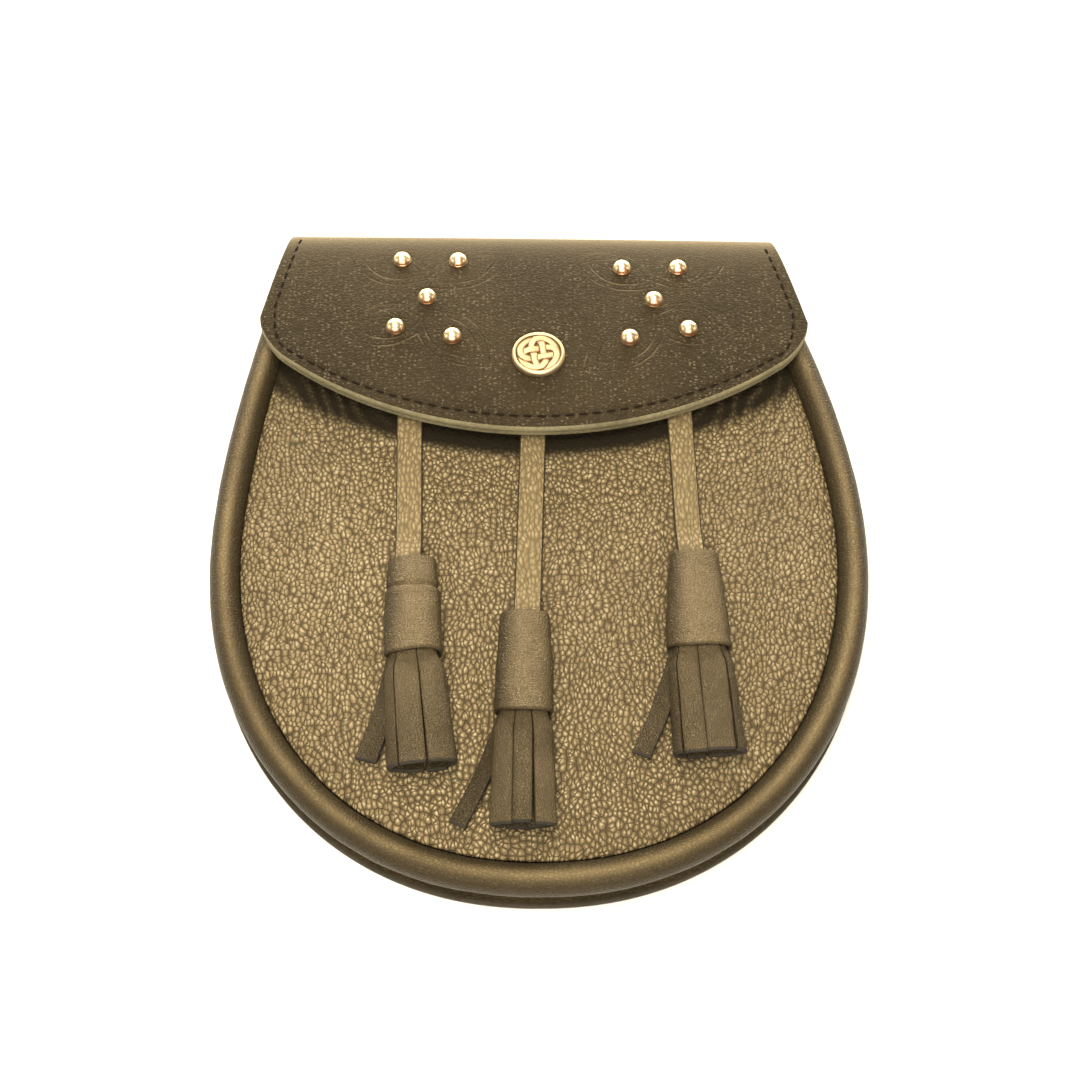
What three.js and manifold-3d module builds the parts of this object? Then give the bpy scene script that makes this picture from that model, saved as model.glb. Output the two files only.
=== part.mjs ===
// A day sporran: a rounded leather pouch, closed by its flap and lying on its back.
// Millimetres. +X is the right side seen from the front, +Y points to the fold of the
// flap and +Z out of the front. The back rests on Z = 0.
import * as THREE from 'three';
import { mergeVertices } from 'three/addons/utils/BufferGeometryUtils.js';
import Module from 'manifold-3d';

const wasm = await Module();
wasm.setup();

// Pouch outline
const pouchWidth = 191.6;
const bowlDepth = 106.6; // lowest point of the rim up to its widest line
const bowlFullness = 2.16; // 2 is an ellipse, more is squarer
const mouthRise = 76; // widest line up to the mouth
const mouthNarrowing = 12.4; // what each side draws in by the mouth
const narrowingPower = 1.7;
const mouthLean = -2.6; // the mouth's middle from the bowl's, since the pouch leans a little
const foldRise = 109.2; // widest line up to the outermost line of the fold
const backTopInset = 15; // fold down to the top edge of the back panel
const backTopDrawIn = 7; // what each top corner of the back panel draws in from the mouth

// Leather
const backWall = 2.4;
const frontWall = 2;
const gussetWall = 1.8;
const flapWall = 2.1;
const liningWall = 1.5;
const strapWall = 1.7;
const loopWall = 2;
const seamGap = 0.3;

// Rim
const weltDiameter = 9.2;
const weltHeight = 11.4; // centre of the welt above the floor

// Front panel
const panelEdgeHeight = 12.6; // its outer face where it meets the welt
const panelTopHeight = 19.6; // its outer face at the crown
const panelCrownPower = 2.6;
const panelEdgeRoundness = 0.5;
const mouthLift = 4.5; // how much the middle of the mouth's edge stands up

// Back panel, hollowed so that the belt loops lie level with its rim
const backHollow = 7.2;
const backRimBand = 6.5; // width of the flat rim
const hollowClearance = 12; // hollow down from the end of the flap's tail
const hollowStart = 0.98; // shares of the way from the middle to the hollow's outline
const hollowFloor = 0.72;

// Flap
const flapCornerHalf = 85.4; // half width at the rounded corners
const flapDrawIn = 7.5; // what each side draws in from the corners to the fold
const flapHemRise = 28.8; // widest line up to the lowest point of the hem
const flapHemRadius = 122;
const flapCornerRadius = 9;
const flapHeight = 26.5; // outer face at the middle of the hem
const foldHeight = 11.5; // height of the fold's outermost line
const flapSideDrop = 4.2; // how much lower the sides lie than the middle
const flapSidePower = 2.2;
const flapCurve = 1.8; // how late the flap turns down to the fold
const foldReturn = 17; // fold back to where the tail lies flat
const flapTail = 13; // flat tail sewn inside the back panel
const flapTailHalf = 68;
const liningTail = 4;
const flapTurn = -0.8; // degrees, it sits a little askew
const flapShift = -2.6;
const foldShift = -1.3; // middle of the fold from the middle of the hem

// Metal
const studDiameter = 5.6;
const studHeight = 2.5;
const studBrim = 0.6;
const conchoDiameter = 16;
const conchoWall = 1.5;
const conchoRimWidth = 1.3;
const conchoRelief = 0.5;
const knotBandWidth = 1.5;
const knotLobes = 5;
const knotOverlap = 0.07; // how far each stretch of it runs into the next, as a share of a stretch
const knotSwing = 0.36; // how far the band swings in and out, as a share of its field
const knotWeave = 0.5; // how far the band rises and dips at its crossings, as a share of its relief
const knotCrest = 0.7; // width of the band's top as a share of its foot
const claspDiameter = 12;
const conchoPlace = { across: 1.7, fromHem: 26.5 };

// Five studs on each half of the flap: across the middle and up from the hem's lowest point
const studPlaces = [
  { name: 'left_1', across: -41.6, fromHem: 66.0 },
  { name: 'left_2', across: -24.0, fromHem: 65.6 },
  { name: 'left_3', across: -32.9, fromHem: 49.6 },
  { name: 'left_4', across: -42.0, fromHem: 37.6 },
  { name: 'left_5', across: -24.5, fromHem: 33.8 },
  { name: 'right_1', across: 27.2, fromHem: 63.1 },
  { name: 'right_2', across: 44.7, fromHem: 63.8 },
  { name: 'right_3', across: 36.8, fromHem: 49.6 },
  { name: 'right_4', across: 29.2, fromHem: 34.1 },
  { name: 'right_5', across: 47.1, fromHem: 38.3 },
];

// Tassels: places from the middle of the widest line
const strapWidth = 7.7;
const strapTopRise = 47; // strap ends, under the flap
const strapTuck = 6; // length of strap inside the wrap
const strapLift = 12; // length over which the strap rises off the panel to the wrap
const strapBend = 24; // length over which it turns from its own line to the wrap
const wrapWall = 1.6;
const wrapTopWidth = 14.2;
const wrapTopDepth = 8.6;
const wrapEndDepth = 10.4;
const wrapShares = [0, 0.33, 0.66, 1];
const fringeDepth = 9.2;
const fringeNotch = 1.3;
const fringeHeadLength = 12;
const fringeEase = 0.6; // how much narrower the head is than the hollow of its wrap
const fringeTaper = 1.1; // how much narrower still it is at its upper end
const stripRound = 0.35; // how far a strip's edges fall back, as a share of the notch
const splayWidth = 4.8;
const splayWall = 1.5;
const splayDrop = 0.55; // share of its length over which it comes down to the panel
const tassels = [
  {
    name: 'left', strapX: -38.6, wrapTopX: -35.9, wrapTopY: -13.4,
    wrapEndX: -34.6, wrapEndY: -41.8, wrapEndWidth: 16.9,
    fringeEndX: -31.2, fringeEndY: -73.8, fringeEndWidth: 18.8,
    splayX: -46.8, splayY: -70.4,
  },
  {
    name: 'centre', strapX: -1.7, wrapTopX: -3.8, wrapTopY: -30.4,
    wrapEndX: -4.1, wrapEndY: -59.2, wrapEndWidth: 16.8,
    fringeEndX: -4.1, fringeEndY: -89.8, fringeEndWidth: 17.6,
    splayX: -21.6, splayY: -88.2,
  },
  {
    name: 'right', strapX: 41.8, wrapTopX: 43.9, wrapTopY: -11.4,
    wrapEndX: 44.1, wrapEndY: -40.0, wrapEndWidth: 18.4,
    fringeEndX: 46.2, fringeEndY: -69.9, fringeEndWidth: 19.6,
    splayX: 27.8, splayY: -69.2,
  },
];
// Places down a fringe, with its width and depth there, all as shares of its end
const fringeBody = [[0.04, 0.8, 0.8], [0.35, 0.94, 0.98], [0.7, 0.98, 1], [1, 1, 1]];
// Lengths of a fringe's strips as shares of the longest, counted round from its right edge
const stripShares = [0.97, 1, 0.985, 1, 0.965, 0.98, 1, 0.99];

// Belt loops on the back
const loopSpread = 84;
const loopWidth = 20;
const loopRise = 9; // widest line up to the middle of a loop
const loopSpan = 34; // free length of a loop between its feet
const loopFoot = 8;
const loopSlant = 5;

// Facets
const rimSideSteps = 9;
const rimBowlSteps = 16;
const mouthSteps = 10;
const weltSides = 10;
const flapColumns = 22;
const liningColumns = 12;
const flapFrontRows = 12;
const foldRows = 5;
const panelShares = [1, 0.985, 0.95, 0.88, 0.76, 0.58, 0.33];
const backShares = [1, 0.93, 0.8, 0.66, 0.5, 0.25];
const roundSides = 16;
const studSides = 10;
const studSteps = 3;
const strapRows = 10;
const splayRows = 5;
const conchoSides = 20;
const knotSteps = 4;
const mergeReach = 1e-4;
const smallTurn = 0.01; // turn over which a curve's direction is read
const rimClearance = 0.5; // rim points nearer than this to a straight top edge are left out
const tiny = 1e-6;

// Places that follow from the sizes above
const flapFoldHalf = flapCornerHalf - flapDrawIn;
const turnedRise = (flapFoldHalf - foldShift) * Math.sin(THREE.MathUtils.degToRad(Math.abs(flapTurn)));
const widestY = (bowlDepth - foldRise - turnedRise) / 2;
const halfWidth = pouchWidth / 2;
const mouthY = widestY + mouthRise;
const foldY = widestY + foldRise;
const hemY = widestY + flapHemRise;
const weltRadius = weltDiameter / 2;
const flapWholeWall = flapWall + seamGap + liningWall;
const tailHeight = backWall + seamGap;

// Closed mesh from points and outward faces of three or four corners
function closedMesh(points, faces) {
  const geometry = new THREE.BufferGeometry();
  geometry.setAttribute('position', new THREE.Float32BufferAttribute(points.flat(), 3));
  const index = [];
  for (const face of faces) {
    for (let corner = 2; corner < face.length; corner += 1) {
      index.push(face[0], face[corner - 1], face[corner]);
    }
  }
  geometry.setIndex(index);
  geometry.computeVertexNormals();
  return geometry;
}

// Sheet between two grids of points with rows running up and columns running to the right
function sheetMesh(outer, inner) {
  const rows = outer.length;
  const columns = outer[0].length;
  const points = [...outer.flat(), ...inner.flat()];
  const faces = [];
  const front = (row, column) => row * columns + column;
  const back = (row, column) => rows * columns + front(row, column);
  for (let row = 1; row < rows; row += 1) {
    for (let column = 1; column < columns; column += 1) {
      const a = [row - 1, column - 1];
      const b = [row - 1, column];
      const c = [row, column];
      const d = [row, column - 1];
      faces.push([front(...a), front(...b), front(...c), front(...d)]);
      faces.push([back(...d), back(...c), back(...b), back(...a)]);
    }
  }
  for (let column = 1; column < columns; column += 1) {
    const last = rows - 1;
    faces.push([back(0, column - 1), back(0, column), front(0, column), front(0, column - 1)]);
    faces.push([front(last, column - 1), front(last, column), back(last, column), back(last, column - 1)]);
  }
  for (let row = 1; row < rows; row += 1) {
    const last = columns - 1;
    faces.push([front(row - 1, 0), front(row, 0), back(row, 0), back(row - 1, 0)]);
    faces.push([back(row - 1, last), back(row, last), front(row, last), front(row - 1, last)]);
  }
  return closedMesh(points, faces);
}

// Skin over a stack of closed rings of equal count, each running round the same way
function ringFaces(ringCount, sides, faces) {
  for (let ring = 1; ring < ringCount; ring += 1) {
    for (let side = 0; side < sides; side += 1) {
      const next = (side + 1) % sides;
      const low = (ring - 1) * sides;
      const high = ring * sides;
      faces.push([low + side, low + next, high + next, high + side]);
    }
  }
}

// Loft with both ends closed by a fan to a middle point
function loftMesh(rings, firstMiddle, lastMiddle) {
  const sides = rings[0].length;
  const points = [...rings.flat(), firstMiddle, lastMiddle];
  const faces = [];
  ringFaces(rings.length, sides, faces);
  const lastRing = (rings.length - 1) * sides;
  const first = rings.length * sides;
  for (let side = 0; side < sides; side += 1) {
    const next = (side + 1) % sides;
    faces.push([first, next, side]);
    faces.push([first + 1, lastRing + side, lastRing + next]);
  }
  return closedMesh(points, faces);
}

// Sleeve: a loft that goes down the outside and back up the inside
function sleeveMesh(rings) {
  const sides = rings[0].length;
  const faces = [];
  ringFaces(rings.length, sides, faces);
  const lastRing = (rings.length - 1) * sides;
  for (let side = 0; side < sides; side += 1) {
    const next = (side + 1) % sides;
    faces.push([lastRing + side, lastRing + next, next, side]);
  }
  return closedMesh(rings.flat(), faces);
}

function toSolid(geometry) {
  const bare = geometry.clone();
  bare.deleteAttribute('normal');
  bare.deleteAttribute('uv');
  const merged = mergeVertices(bare, mergeReach);
  return new wasm.Manifold(new wasm.Mesh({
    numProp: 3,
    vertProperties: new Float32Array(merged.attributes.position.array),
    triVerts: new Uint32Array(merged.index.array),
  }));
}

function fromSolid(solid) {
  const mesh = solid.getMesh();
  const geometry = new THREE.BufferGeometry();
  geometry.setAttribute('position', new THREE.Float32BufferAttribute(mesh.vertProperties, 3));
  geometry.setIndex([...mesh.triVerts]);
  geometry.computeVertexNormals();
  return geometry;
}

function leanAt(y) {
  return mouthLean * (Math.max(y - widestY, 0) / mouthRise) ** 2;
}

// Rim from the left end of the mouth, round the bottom, to its right end
function rimLine(inset) {
  const half = [];
  for (let step = 0; step < rimSideSteps; step += 1) {
    const rise = mouthRise * (1 - step / rimSideSteps);
    const drawIn = mouthNarrowing * (rise / mouthRise) ** narrowingPower;
    half.push(new THREE.Vector2(drawIn - halfWidth, widestY + rise));
  }
  for (let step = 0; step <= rimBowlSteps; step += 1) {
    const angle = (step / rimBowlSteps) * (Math.PI / 2);
    const across = Math.max(Math.cos(angle), 0) ** (2 / bowlFullness);
    const down = Math.sin(angle) ** (2 / bowlFullness);
    half.push(new THREE.Vector2(-halfWidth * across, widestY - bowlDepth * down));
  }
  const mirrored = half.slice(0, -1).reverse().map((point) => new THREE.Vector2(-point.x, point.y));
  const line = [...half, ...mirrored];
  for (const point of line) point.x += leanAt(point.y);
  return line.map((point, at) => {
    const before = line[Math.max(at - 1, 0)];
    const after = line[Math.min(at + 1, line.length - 1)];
    const along = new THREE.Vector2().subVectors(after, before).normalize();
    return new THREE.Vector2(point.x - along.y * inset, point.y + along.x * inset);
  });
}

// Rim closed by a straight edge across the top, at its own height and half width
function closedOutline(inset, topY, topHalf) {
  const line = rimLine(inset).filter((point) => point.y < topY - rimClearance);
  for (let step = 0; step <= mouthSteps; step += 1) {
    line.push(new THREE.Vector2(mouthLean + topHalf * (1 - (2 * step) / mouthSteps), topY));
  }
  return line;
}

// Share of the way from the middle to the outline at which a point lies
function outlineShare(outline, x, y) {
  const reach = Math.hypot(x, y - widestY);
  if (reach === 0) return 0;
  const dx = x / reach;
  const dy = (y - widestY) / reach;
  let edge = Infinity;
  for (let at = 0; at < outline.length; at += 1) {
    const a = outline[at];
    const b = outline[(at + 1) % outline.length];
    const ex = b.x - a.x;
    const ey = b.y - a.y;
    const cross = dx * ey - dy * ex;
    if (Math.abs(cross) < tiny) continue;
    const ax = a.x;
    const ay = a.y - widestY;
    const distance = (ax * ey - ay * ex) / cross;
    const along = (ax * dy - ay * dx) / cross;
    if (distance > 0 && along >= -tiny && along <= 1 + tiny) edge = Math.min(edge, distance);
  }
  return reach / edge;
}

// Plate over a closed outline, in rings that shrink to the middle
function plateMesh(outline, shares, outerHeight, innerHeight) {
  const sides = outline.length;
  const middle = [0, widestY];
  const ring = (share, height) => outline.map((edge) => {
    const x = edge.x * share;
    const y = widestY + (edge.y - widestY) * share;
    return [x, y, height(x, y, share, edge)];
  });
  const inward = shares.map((share) => ring(share, outerHeight));
  const outward = [...shares].reverse().map((share) => ring(share, innerHeight));
  const top = [...middle, outerHeight(...middle, 0, outline[0])];
  const bottom = [...middle, innerHeight(...middle, 0, outline[0])];
  return loftMesh([...outward, ...inward], bottom, top);
}

// Front panel: a crowned skin, highest in the middle, with the mouth's edge standing up a little
const panelInset = weltDiameter + seamGap;
const panelMouthHalf = halfWidth - mouthNarrowing - panelInset;
const panelOutline = closedOutline(panelInset, mouthY, panelMouthHalf);

function panelEdge(edge) {
  const atMouth = edge.y > mouthY - tiny * pouchWidth;
  return panelEdgeHeight + (atMouth ? mouthLift * (1 - ((edge.x - mouthLean) / panelMouthHalf) ** 2) : 0);
}

function panelTop(x, y, share, edge) {
  const rise = (1 - share ** panelCrownPower) ** panelEdgeRoundness;
  const low = panelEdge(edge);
  return low + (panelTopHeight - low) * rise;
}

function panelAt(x, y) {
  const share = THREE.MathUtils.clamp(outlineShare(panelOutline, x, y), tiny, 1);
  const edge = new THREE.Vector2(x / share, widestY + (y - widestY) / share);
  return panelTop(x, y, share, edge);
}

function frontPanel() {
  const inside = (x, y, share, edge) => panelTop(x, y, share, edge) - frontWall;
  return plateMesh(panelOutline, panelShares, panelTop, inside);
}

// Back panel: flat round its rim, hollowed in the middle
const hollowTop = foldY - foldReturn - flapTail - hollowClearance;
const backTopHalf = halfWidth - mouthNarrowing - backTopDrawIn;
const hollowOutline = closedOutline(backRimBand, hollowTop, backTopHalf);

function backFace(x, y) {
  const share = outlineShare(hollowOutline, x, y);
  return backHollow * (1 - THREE.MathUtils.smoothstep(share, hollowFloor, hollowStart));
}

function backPanel() {
  const outline = closedOutline(0, foldY - backTopInset, backTopHalf);
  const inside = (x, y) => backFace(x, y) + backWall;
  return plateMesh(outline, backShares, inside, backFace);
}

// Gusset: the narrow wall between the back panel and the welt
function gusset() {
  const low = backWall + seamGap;
  const high = weltHeight - weltRadius - seamGap;
  const outside = rimLine(weltRadius - gussetWall / 2);
  const inside = rimLine(weltRadius + gussetWall / 2);
  const rings = outside.map((point, at) => [
    [point.x, point.y, low],
    [inside[at].x, inside[at].y, low],
    [inside[at].x, inside[at].y, high],
    [point.x, point.y, high],
  ]);
  const middle = (ring) => [(ring[0][0] + ring[2][0]) / 2, (ring[0][1] + ring[2][1]) / 2, (low + high) / 2];
  return loftMesh(rings, middle(rings[0]), middle(rings[rings.length - 1]));
}

// Welt: a round cord covered in leather, along the rim up to the mouth
function frontWelt() {
  const line = rimLine(weltRadius).map((point) => new THREE.Vector3(point.x, point.y, weltHeight));
  const section = new THREE.Shape();
  for (let side = 0; side < weltSides; side += 1) {
    const angle = ((side + 0.5) / weltSides) * Math.PI * 2;
    const place = [weltRadius * Math.cos(angle), weltRadius * Math.sin(angle)];
    if (side === 0) section.moveTo(...place);
    else section.lineTo(...place);
  }
  section.closePath();
  return new THREE.ExtrudeGeometry(section, {
    steps: 2 * (rimSideSteps + rimBowlSteps),
    extrudePath: new THREE.CatmullRomCurve3(line),
    bevelEnabled: false,
  });
}

// Flap: outer face as a point and its normal, for a share across and a turn from hem to tail
const flapRun = foldY - hemY;
const cornerStart = flapCornerHalf - flapCornerRadius;

function hemAt(across) {
  const arc = flapHemRadius - Math.sqrt(flapHemRadius ** 2 - across ** 2);
  const past = Math.max(Math.abs(across) - cornerStart, 0) / flapCornerRadius;
  return hemY + arc + flapCornerRadius * (1 - Math.sqrt(Math.max(1 - past * past, 0)));
}

function flapAcross(share, y) {
  const corner = hemAt(flapCornerHalf);
  const up = THREE.MathUtils.clamp((y - corner) / (foldY - corner), 0, 1);
  return share * (flapCornerHalf + (flapFoldHalf - flapCornerHalf) * up) + foldShift * up;
}

function frontFace(x, y) {
  const share = Math.min(Math.max((y - hemY) / flapRun, 0), 1);
  const drop = flapSideDrop * Math.abs(x / flapCornerHalf) ** flapSidePower;
  const rise = flapHeight - foldHeight - drop;
  const fall = Math.sqrt(1 - share ** flapCurve);
  const tilt = (flapSidePower * drop) / Math.max(Math.abs(x), 1);
  const normal = new THREE.Vector3(
    Math.sign(x) * tilt * fall * fall,
    (rise / flapRun) * (flapCurve / 2) * share ** (flapCurve - 1),
    fall,
  ).normalize();
  return { point: new THREE.Vector3(x, y, foldHeight + rise * fall), normal };
}

// Rows of the flap: the front from hem to fold, the return under the fold, then the tail
function flapRow(row, share, tail) {
  if (row <= flapFrontRows) {
    const hem = hemAt(share * flapCornerHalf);
    const start = Math.asin((Math.max(hem - hemY, 0) / flapRun) ** (flapCurve / 2));
    const turn = start + (Math.PI / 2 - start) * (row / flapFrontRows);
    const y = hemY + flapRun * Math.sin(turn) ** (2 / flapCurve);
    return frontFace(flapAcross(share, y), y);
  }
  const past = Math.min((row - flapFrontRows) / foldRows, 1);
  const x = flapAcross(share, foldY) + share * (flapTailHalf - flapFoldHalf) * past;
  if (row <= flapFrontRows + foldRows) {
    const turn = past * (Math.PI / 2);
    const drop = foldHeight - tailHeight;
    const normal = new THREE.Vector3(0, Math.cos(turn) / foldReturn, -Math.sin(turn) / drop).normalize();
    const y = foldY - foldReturn * (1 - Math.cos(turn));
    return { point: new THREE.Vector3(x, y, foldHeight - drop * Math.sin(turn)), normal };
  }
  return {
    point: new THREE.Vector3(x, foldY - foldReturn - tail, tailHeight),
    normal: new THREE.Vector3(0, 0, -1),
  };
}

function flapSheet(depth, wall, tail, columns) {
  const outer = [];
  const inner = [];
  for (let row = 0; row <= flapFrontRows + foldRows + 1; row += 1) {
    const near = [];
    const far = [];
    for (let column = 0; column <= columns; column += 1) {
      const share = Math.sin((column / columns - 0.5) * Math.PI);
      const { point, normal } = flapRow(row, share, tail);
      near.push(point.clone().addScaledVector(normal, -depth).toArray());
      far.push(point.clone().addScaledVector(normal, -depth - wall).toArray());
    }
    outer.push(near);
    inner.push(far);
  }
  return sheetMesh(outer, inner);
}

// Anything round that stands on the flap, turned to its slope
function seatOnFlap(mesh, place) {
  const { point, normal } = frontFace(place.across, hemY + place.fromHem);
  mesh.position.copy(point).addScaledVector(normal, seamGap);
  mesh.quaternion.setFromUnitVectors(new THREE.Vector3(0, 1, 0), normal);
  return mesh;
}

function studShape() {
  const radius = studDiameter / 2;
  const profile = [new THREE.Vector2(0, 0), new THREE.Vector2(radius, 0)];
  for (let step = 0; step < studSteps; step += 1) {
    const angle = (step / studSteps) * (Math.PI / 2);
    const height = studBrim + (studHeight - studBrim) * Math.sin(angle);
    profile.push(new THREE.Vector2(radius * Math.cos(angle), height));
  }
  profile.push(new THREE.Vector2(0, studHeight));
  return new THREE.LatheGeometry(profile, studSides);
}

// Interlaced knot of one band that goes twice round and crosses itself five times
const knotField = conchoDiameter / 2 - conchoRimWidth - knotBandWidth / 2;
const knotTurn = knotLobes / 2;

function knotAt(turn) {
  const reach = knotField * (1 - knotSwing + knotSwing * Math.cos(knotTurn * turn));
  return new THREE.Vector2(reach * Math.cos(turn), reach * Math.sin(turn));
}

// One stretch of the band, from halfway before a crossing to halfway after it
function knotStretch(crossing) {
  const span = Math.PI / knotTurn;
  const rings = [];
  for (let step = 0; step <= knotSteps; step += 1) {
    const turn = (crossing - knotOverlap + (step / knotSteps) * (1 + 2 * knotOverlap)) * span;
    const here = knotAt(turn);
    const along = knotAt(turn + smallTurn).sub(here).normalize();
    const aside = new THREE.Vector2(-along.y, along.x).multiplyScalar(knotBandWidth / 2);
    const crest = conchoWall + conchoRelief * (1 + knotWeave * Math.sin(knotTurn * turn));
    const corner = (side, height) => [here.x + side * aside.x, height, -here.y - side * aside.y];
    const foot = conchoWall - conchoRelief;
    rings.push([corner(-1, foot), corner(1, foot), corner(knotCrest, crest), corner(-knotCrest, crest)]);
  }
  const middle = (ring) => ring[0].map((value, axis) => (value + ring[2][axis]) / 2);
  return loftMesh(rings, middle(rings[0]), middle(rings[knotSteps]));
}

function conchoShape() {
  const radius = conchoDiameter / 2;
  const field = radius - conchoRimWidth;
  const crest = conchoWall + conchoRelief;
  const disc = new THREE.LatheGeometry([
    new THREE.Vector2(0, 0),
    new THREE.Vector2(radius, 0),
    new THREE.Vector2(radius, conchoWall),
    new THREE.Vector2(radius - conchoRelief, crest),
    new THREE.Vector2(field, crest),
    new THREE.Vector2(field, conchoWall),
    new THREE.Vector2(0, conchoWall),
  ], conchoSides);
  let solid = toSolid(disc);
  for (let crossing = 0; crossing < 2 * knotLobes; crossing += 1) {
    solid = solid.add(toSolid(knotStretch(crossing)));
  }
  return fromSolid(solid);
}

// Clasp: a plain disc between the flap and the front panel, behind the concho
function claspShape() {
  const { point } = frontFace(conchoPlace.across, hemY + conchoPlace.fromHem);
  const radius = claspDiameter / 2;
  const low = panelAt(point.x, point.y) + seamGap;
  const sides = [-radius, radius].map((step) => frontFace(point.x, point.y + step));
  const lining = sides.map(({ point: face, normal }) => face.z - flapWholeWall / normal.z);
  const high = Math.min(...lining) - seamGap;
  const geometry = new THREE.CylinderGeometry(radius, radius, high - low, roundSides);
  geometry.rotateX(Math.PI / 2);
  geometry.translate(point.x, point.y, (low + high) / 2);
  return geometry;
}

// Tassels: each hangs on a strap, which goes into a wrap that holds the fringe's head
function mix(a, b, share) {
  return a + (b - a) * share;
}

// Axis of a tassel: the height at which a piece of this depth lies on the front panel
function lieOn(x, y, depth) {
  return panelAt(x, y) + seamGap + depth / 2;
}

function wrapAxis(tassel) {
  const topY = widestY + tassel.wrapTopY;
  const endY = widestY + tassel.wrapEndY;
  return {
    top: new THREE.Vector3(tassel.wrapTopX, topY, lieOn(tassel.wrapTopX, topY, wrapTopDepth)),
    end: new THREE.Vector3(tassel.wrapEndX, endY, lieOn(tassel.wrapEndX, endY, wrapEndDepth)),
  };
}

function strapShape(tassel) {
  const { top, end } = wrapAxis(tassel);
  const tuckEnd = top.clone().lerp(end, strapTuck / top.distanceTo(end));
  const startY = widestY + strapTopRise;
  const outer = [];
  const inner = [];
  for (let row = 0; row <= strapRows; row += 1) {
    const share = row / strapRows;
    const y = mix(tuckEnd.y, startY, share);
    const lift = THREE.MathUtils.smoothstep(y, top.y, top.y + strapLift);
    const bend = THREE.MathUtils.smoothstep(y, tuckEnd.y, top.y + strapBend);
    const x = mix(tuckEnd.x, tassel.strapX, bend);
    const near = [];
    const far = [];
    for (const side of [-1, 1]) {
      const edge = x + (side * strapWidth) / 2;
      const flat = Math.max(panelAt(edge, y), panelAt(x, y)) + seamGap;
      const low = mix(tuckEnd.z - strapWall / 2, flat, lift);
      near.push([edge, y, low + strapWall]);
      far.push([edge, y, low]);
    }
    outer.push(near);
    inner.push(far);
  }
  return sheetMesh(outer, inner);
}

// Ellipse across a tassel, from its right side over its front
function acrossRing(centre, along, width, depth, reachAt) {
  const right = new THREE.Vector3(0, 0, 1).cross(along).normalize();
  const up = new THREE.Vector3().crossVectors(along, right).normalize();
  const count = reachAt.length;
  return reachAt.map(({ reach, along: shift }, at) => {
    const angle = (at / count) * Math.PI * 2;
    return centre.clone()
      .addScaledVector(right, (width / 2) * reach * Math.cos(angle))
      .addScaledVector(up, (depth / 2) * reach * Math.sin(angle))
      .addScaledVector(along, shift)
      .toArray();
  });
}

const plainRing = Array.from({ length: roundSides }, () => ({ reach: 1, along: 0 }));

function wrapShape(tassel) {
  const { top, end } = wrapAxis(tassel);
  const along = end.clone().sub(top).normalize();
  const rings = [];
  const section = (share, thinner) => {
    const width = mix(wrapTopWidth, tassel.wrapEndWidth, share) - 2 * thinner;
    const depth = mix(wrapTopDepth, wrapEndDepth, share) - 2 * thinner;
    rings.push(acrossRing(top.clone().lerp(end, share), along, width, depth, plainRing));
  };
  for (const share of wrapShares) section(share, 0);
  for (const share of [1, 0]) section(share, wrapWall);
  return sleeveMesh(rings);
}

// Round a fringe: the middle and the two edges of each strip, then the notch after it
function stripRing(notch, cut, length) {
  const ring = [];
  stripShares.forEach((share, at) => {
    const next = stripShares[(at + 1) % stripShares.length];
    const shift = cut * (share - 1) * length;
    const between = cut * (Math.min(share, next) - 1) * length;
    ring.push({ reach: 1 - stripRound * notch, along: shift });
    ring.push({ reach: 1, along: shift });
    ring.push({ reach: 1 - stripRound * notch, along: shift });
    ring.push({ reach: 1 - notch, along: between });
  });
  return ring;
}

function fringeShape(tassel) {
  const { top, end } = wrapAxis(tassel);
  const endY = widestY + tassel.fringeEndY;
  const tip = new THREE.Vector3(tassel.fringeEndX, endY, lieOn(tassel.fringeEndX, endY, fringeDepth));
  const along = end.clone().sub(top).normalize();
  const hang = tip.clone().sub(end);
  const length = hang.length();
  hang.normalize();
  const inWidth = tassel.wrapEndWidth - 2 * (wrapWall + seamGap) - fringeEase;
  const inDepth = wrapEndDepth - 2 * (wrapWall + seamGap) - fringeEase;
  const notch = fringeNotch / (fringeDepth / 2);
  const head = end.clone().addScaledVector(along, -fringeHeadLength);
  const rings = [
    acrossRing(head, along, inWidth - fringeTaper, inDepth - fringeTaper, stripRing(0, 0, length)),
    acrossRing(end, along, inWidth, inDepth, stripRing(0, 0, length)),
  ];
  for (const [share, widen, deepen] of fringeBody) {
    const centre = end.clone().addScaledVector(hang, length * share);
    const width = tassel.fringeEndWidth * widen;
    const depth = fringeDepth * deepen;
    rings.push(acrossRing(centre, hang, width, depth, stripRing(notch, share === 1 ? 1 : 0, length)));
  }
  const hollow = tip.clone().addScaledVector(hang, -fringeHeadLength / 3);
  const body = loftMesh(rings, head.toArray(), hollow.toArray());
  return fromSolid(toSolid(body).add(toSolid(splayShape(tassel, end, along))));
}

// The strip that lies out to the side, flat on the front panel
function splayShape(tassel, end, along) {
  const root = end.clone().addScaledVector(along, seamGap + splayWidth / 2);
  root.x -= tassel.wrapEndWidth / 2 - wrapWall - splayWidth / 2;
  const tip = new THREE.Vector2(tassel.splayX, widestY + tassel.splayY);
  const outer = [];
  const inner = [];
  for (let row = 0; row <= splayRows; row += 1) {
    const share = 1 - row / splayRows;
    const x = mix(root.x, tip.x, share);
    const y = mix(root.y, tip.y, share);
    const flat = panelAt(x, y) + 2 * seamGap;
    const drop = THREE.MathUtils.smoothstep(share, 0, splayDrop);
    const low = mix(root.z - splayWall / 2, flat, drop);
    const lean = new THREE.Vector2(tip.x - root.x, tip.y - root.y).normalize();
    const half = splayWidth / 2;
    outer.push([-1, 1].map((side) => [x - side * lean.y * half, y + side * lean.x * half, low + splayWall]));
    inner.push([-1, 1].map((side) => [x - side * lean.y * half, y + side * lean.x * half, low]));
  }
  return sheetMesh(outer, inner);
}

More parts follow.
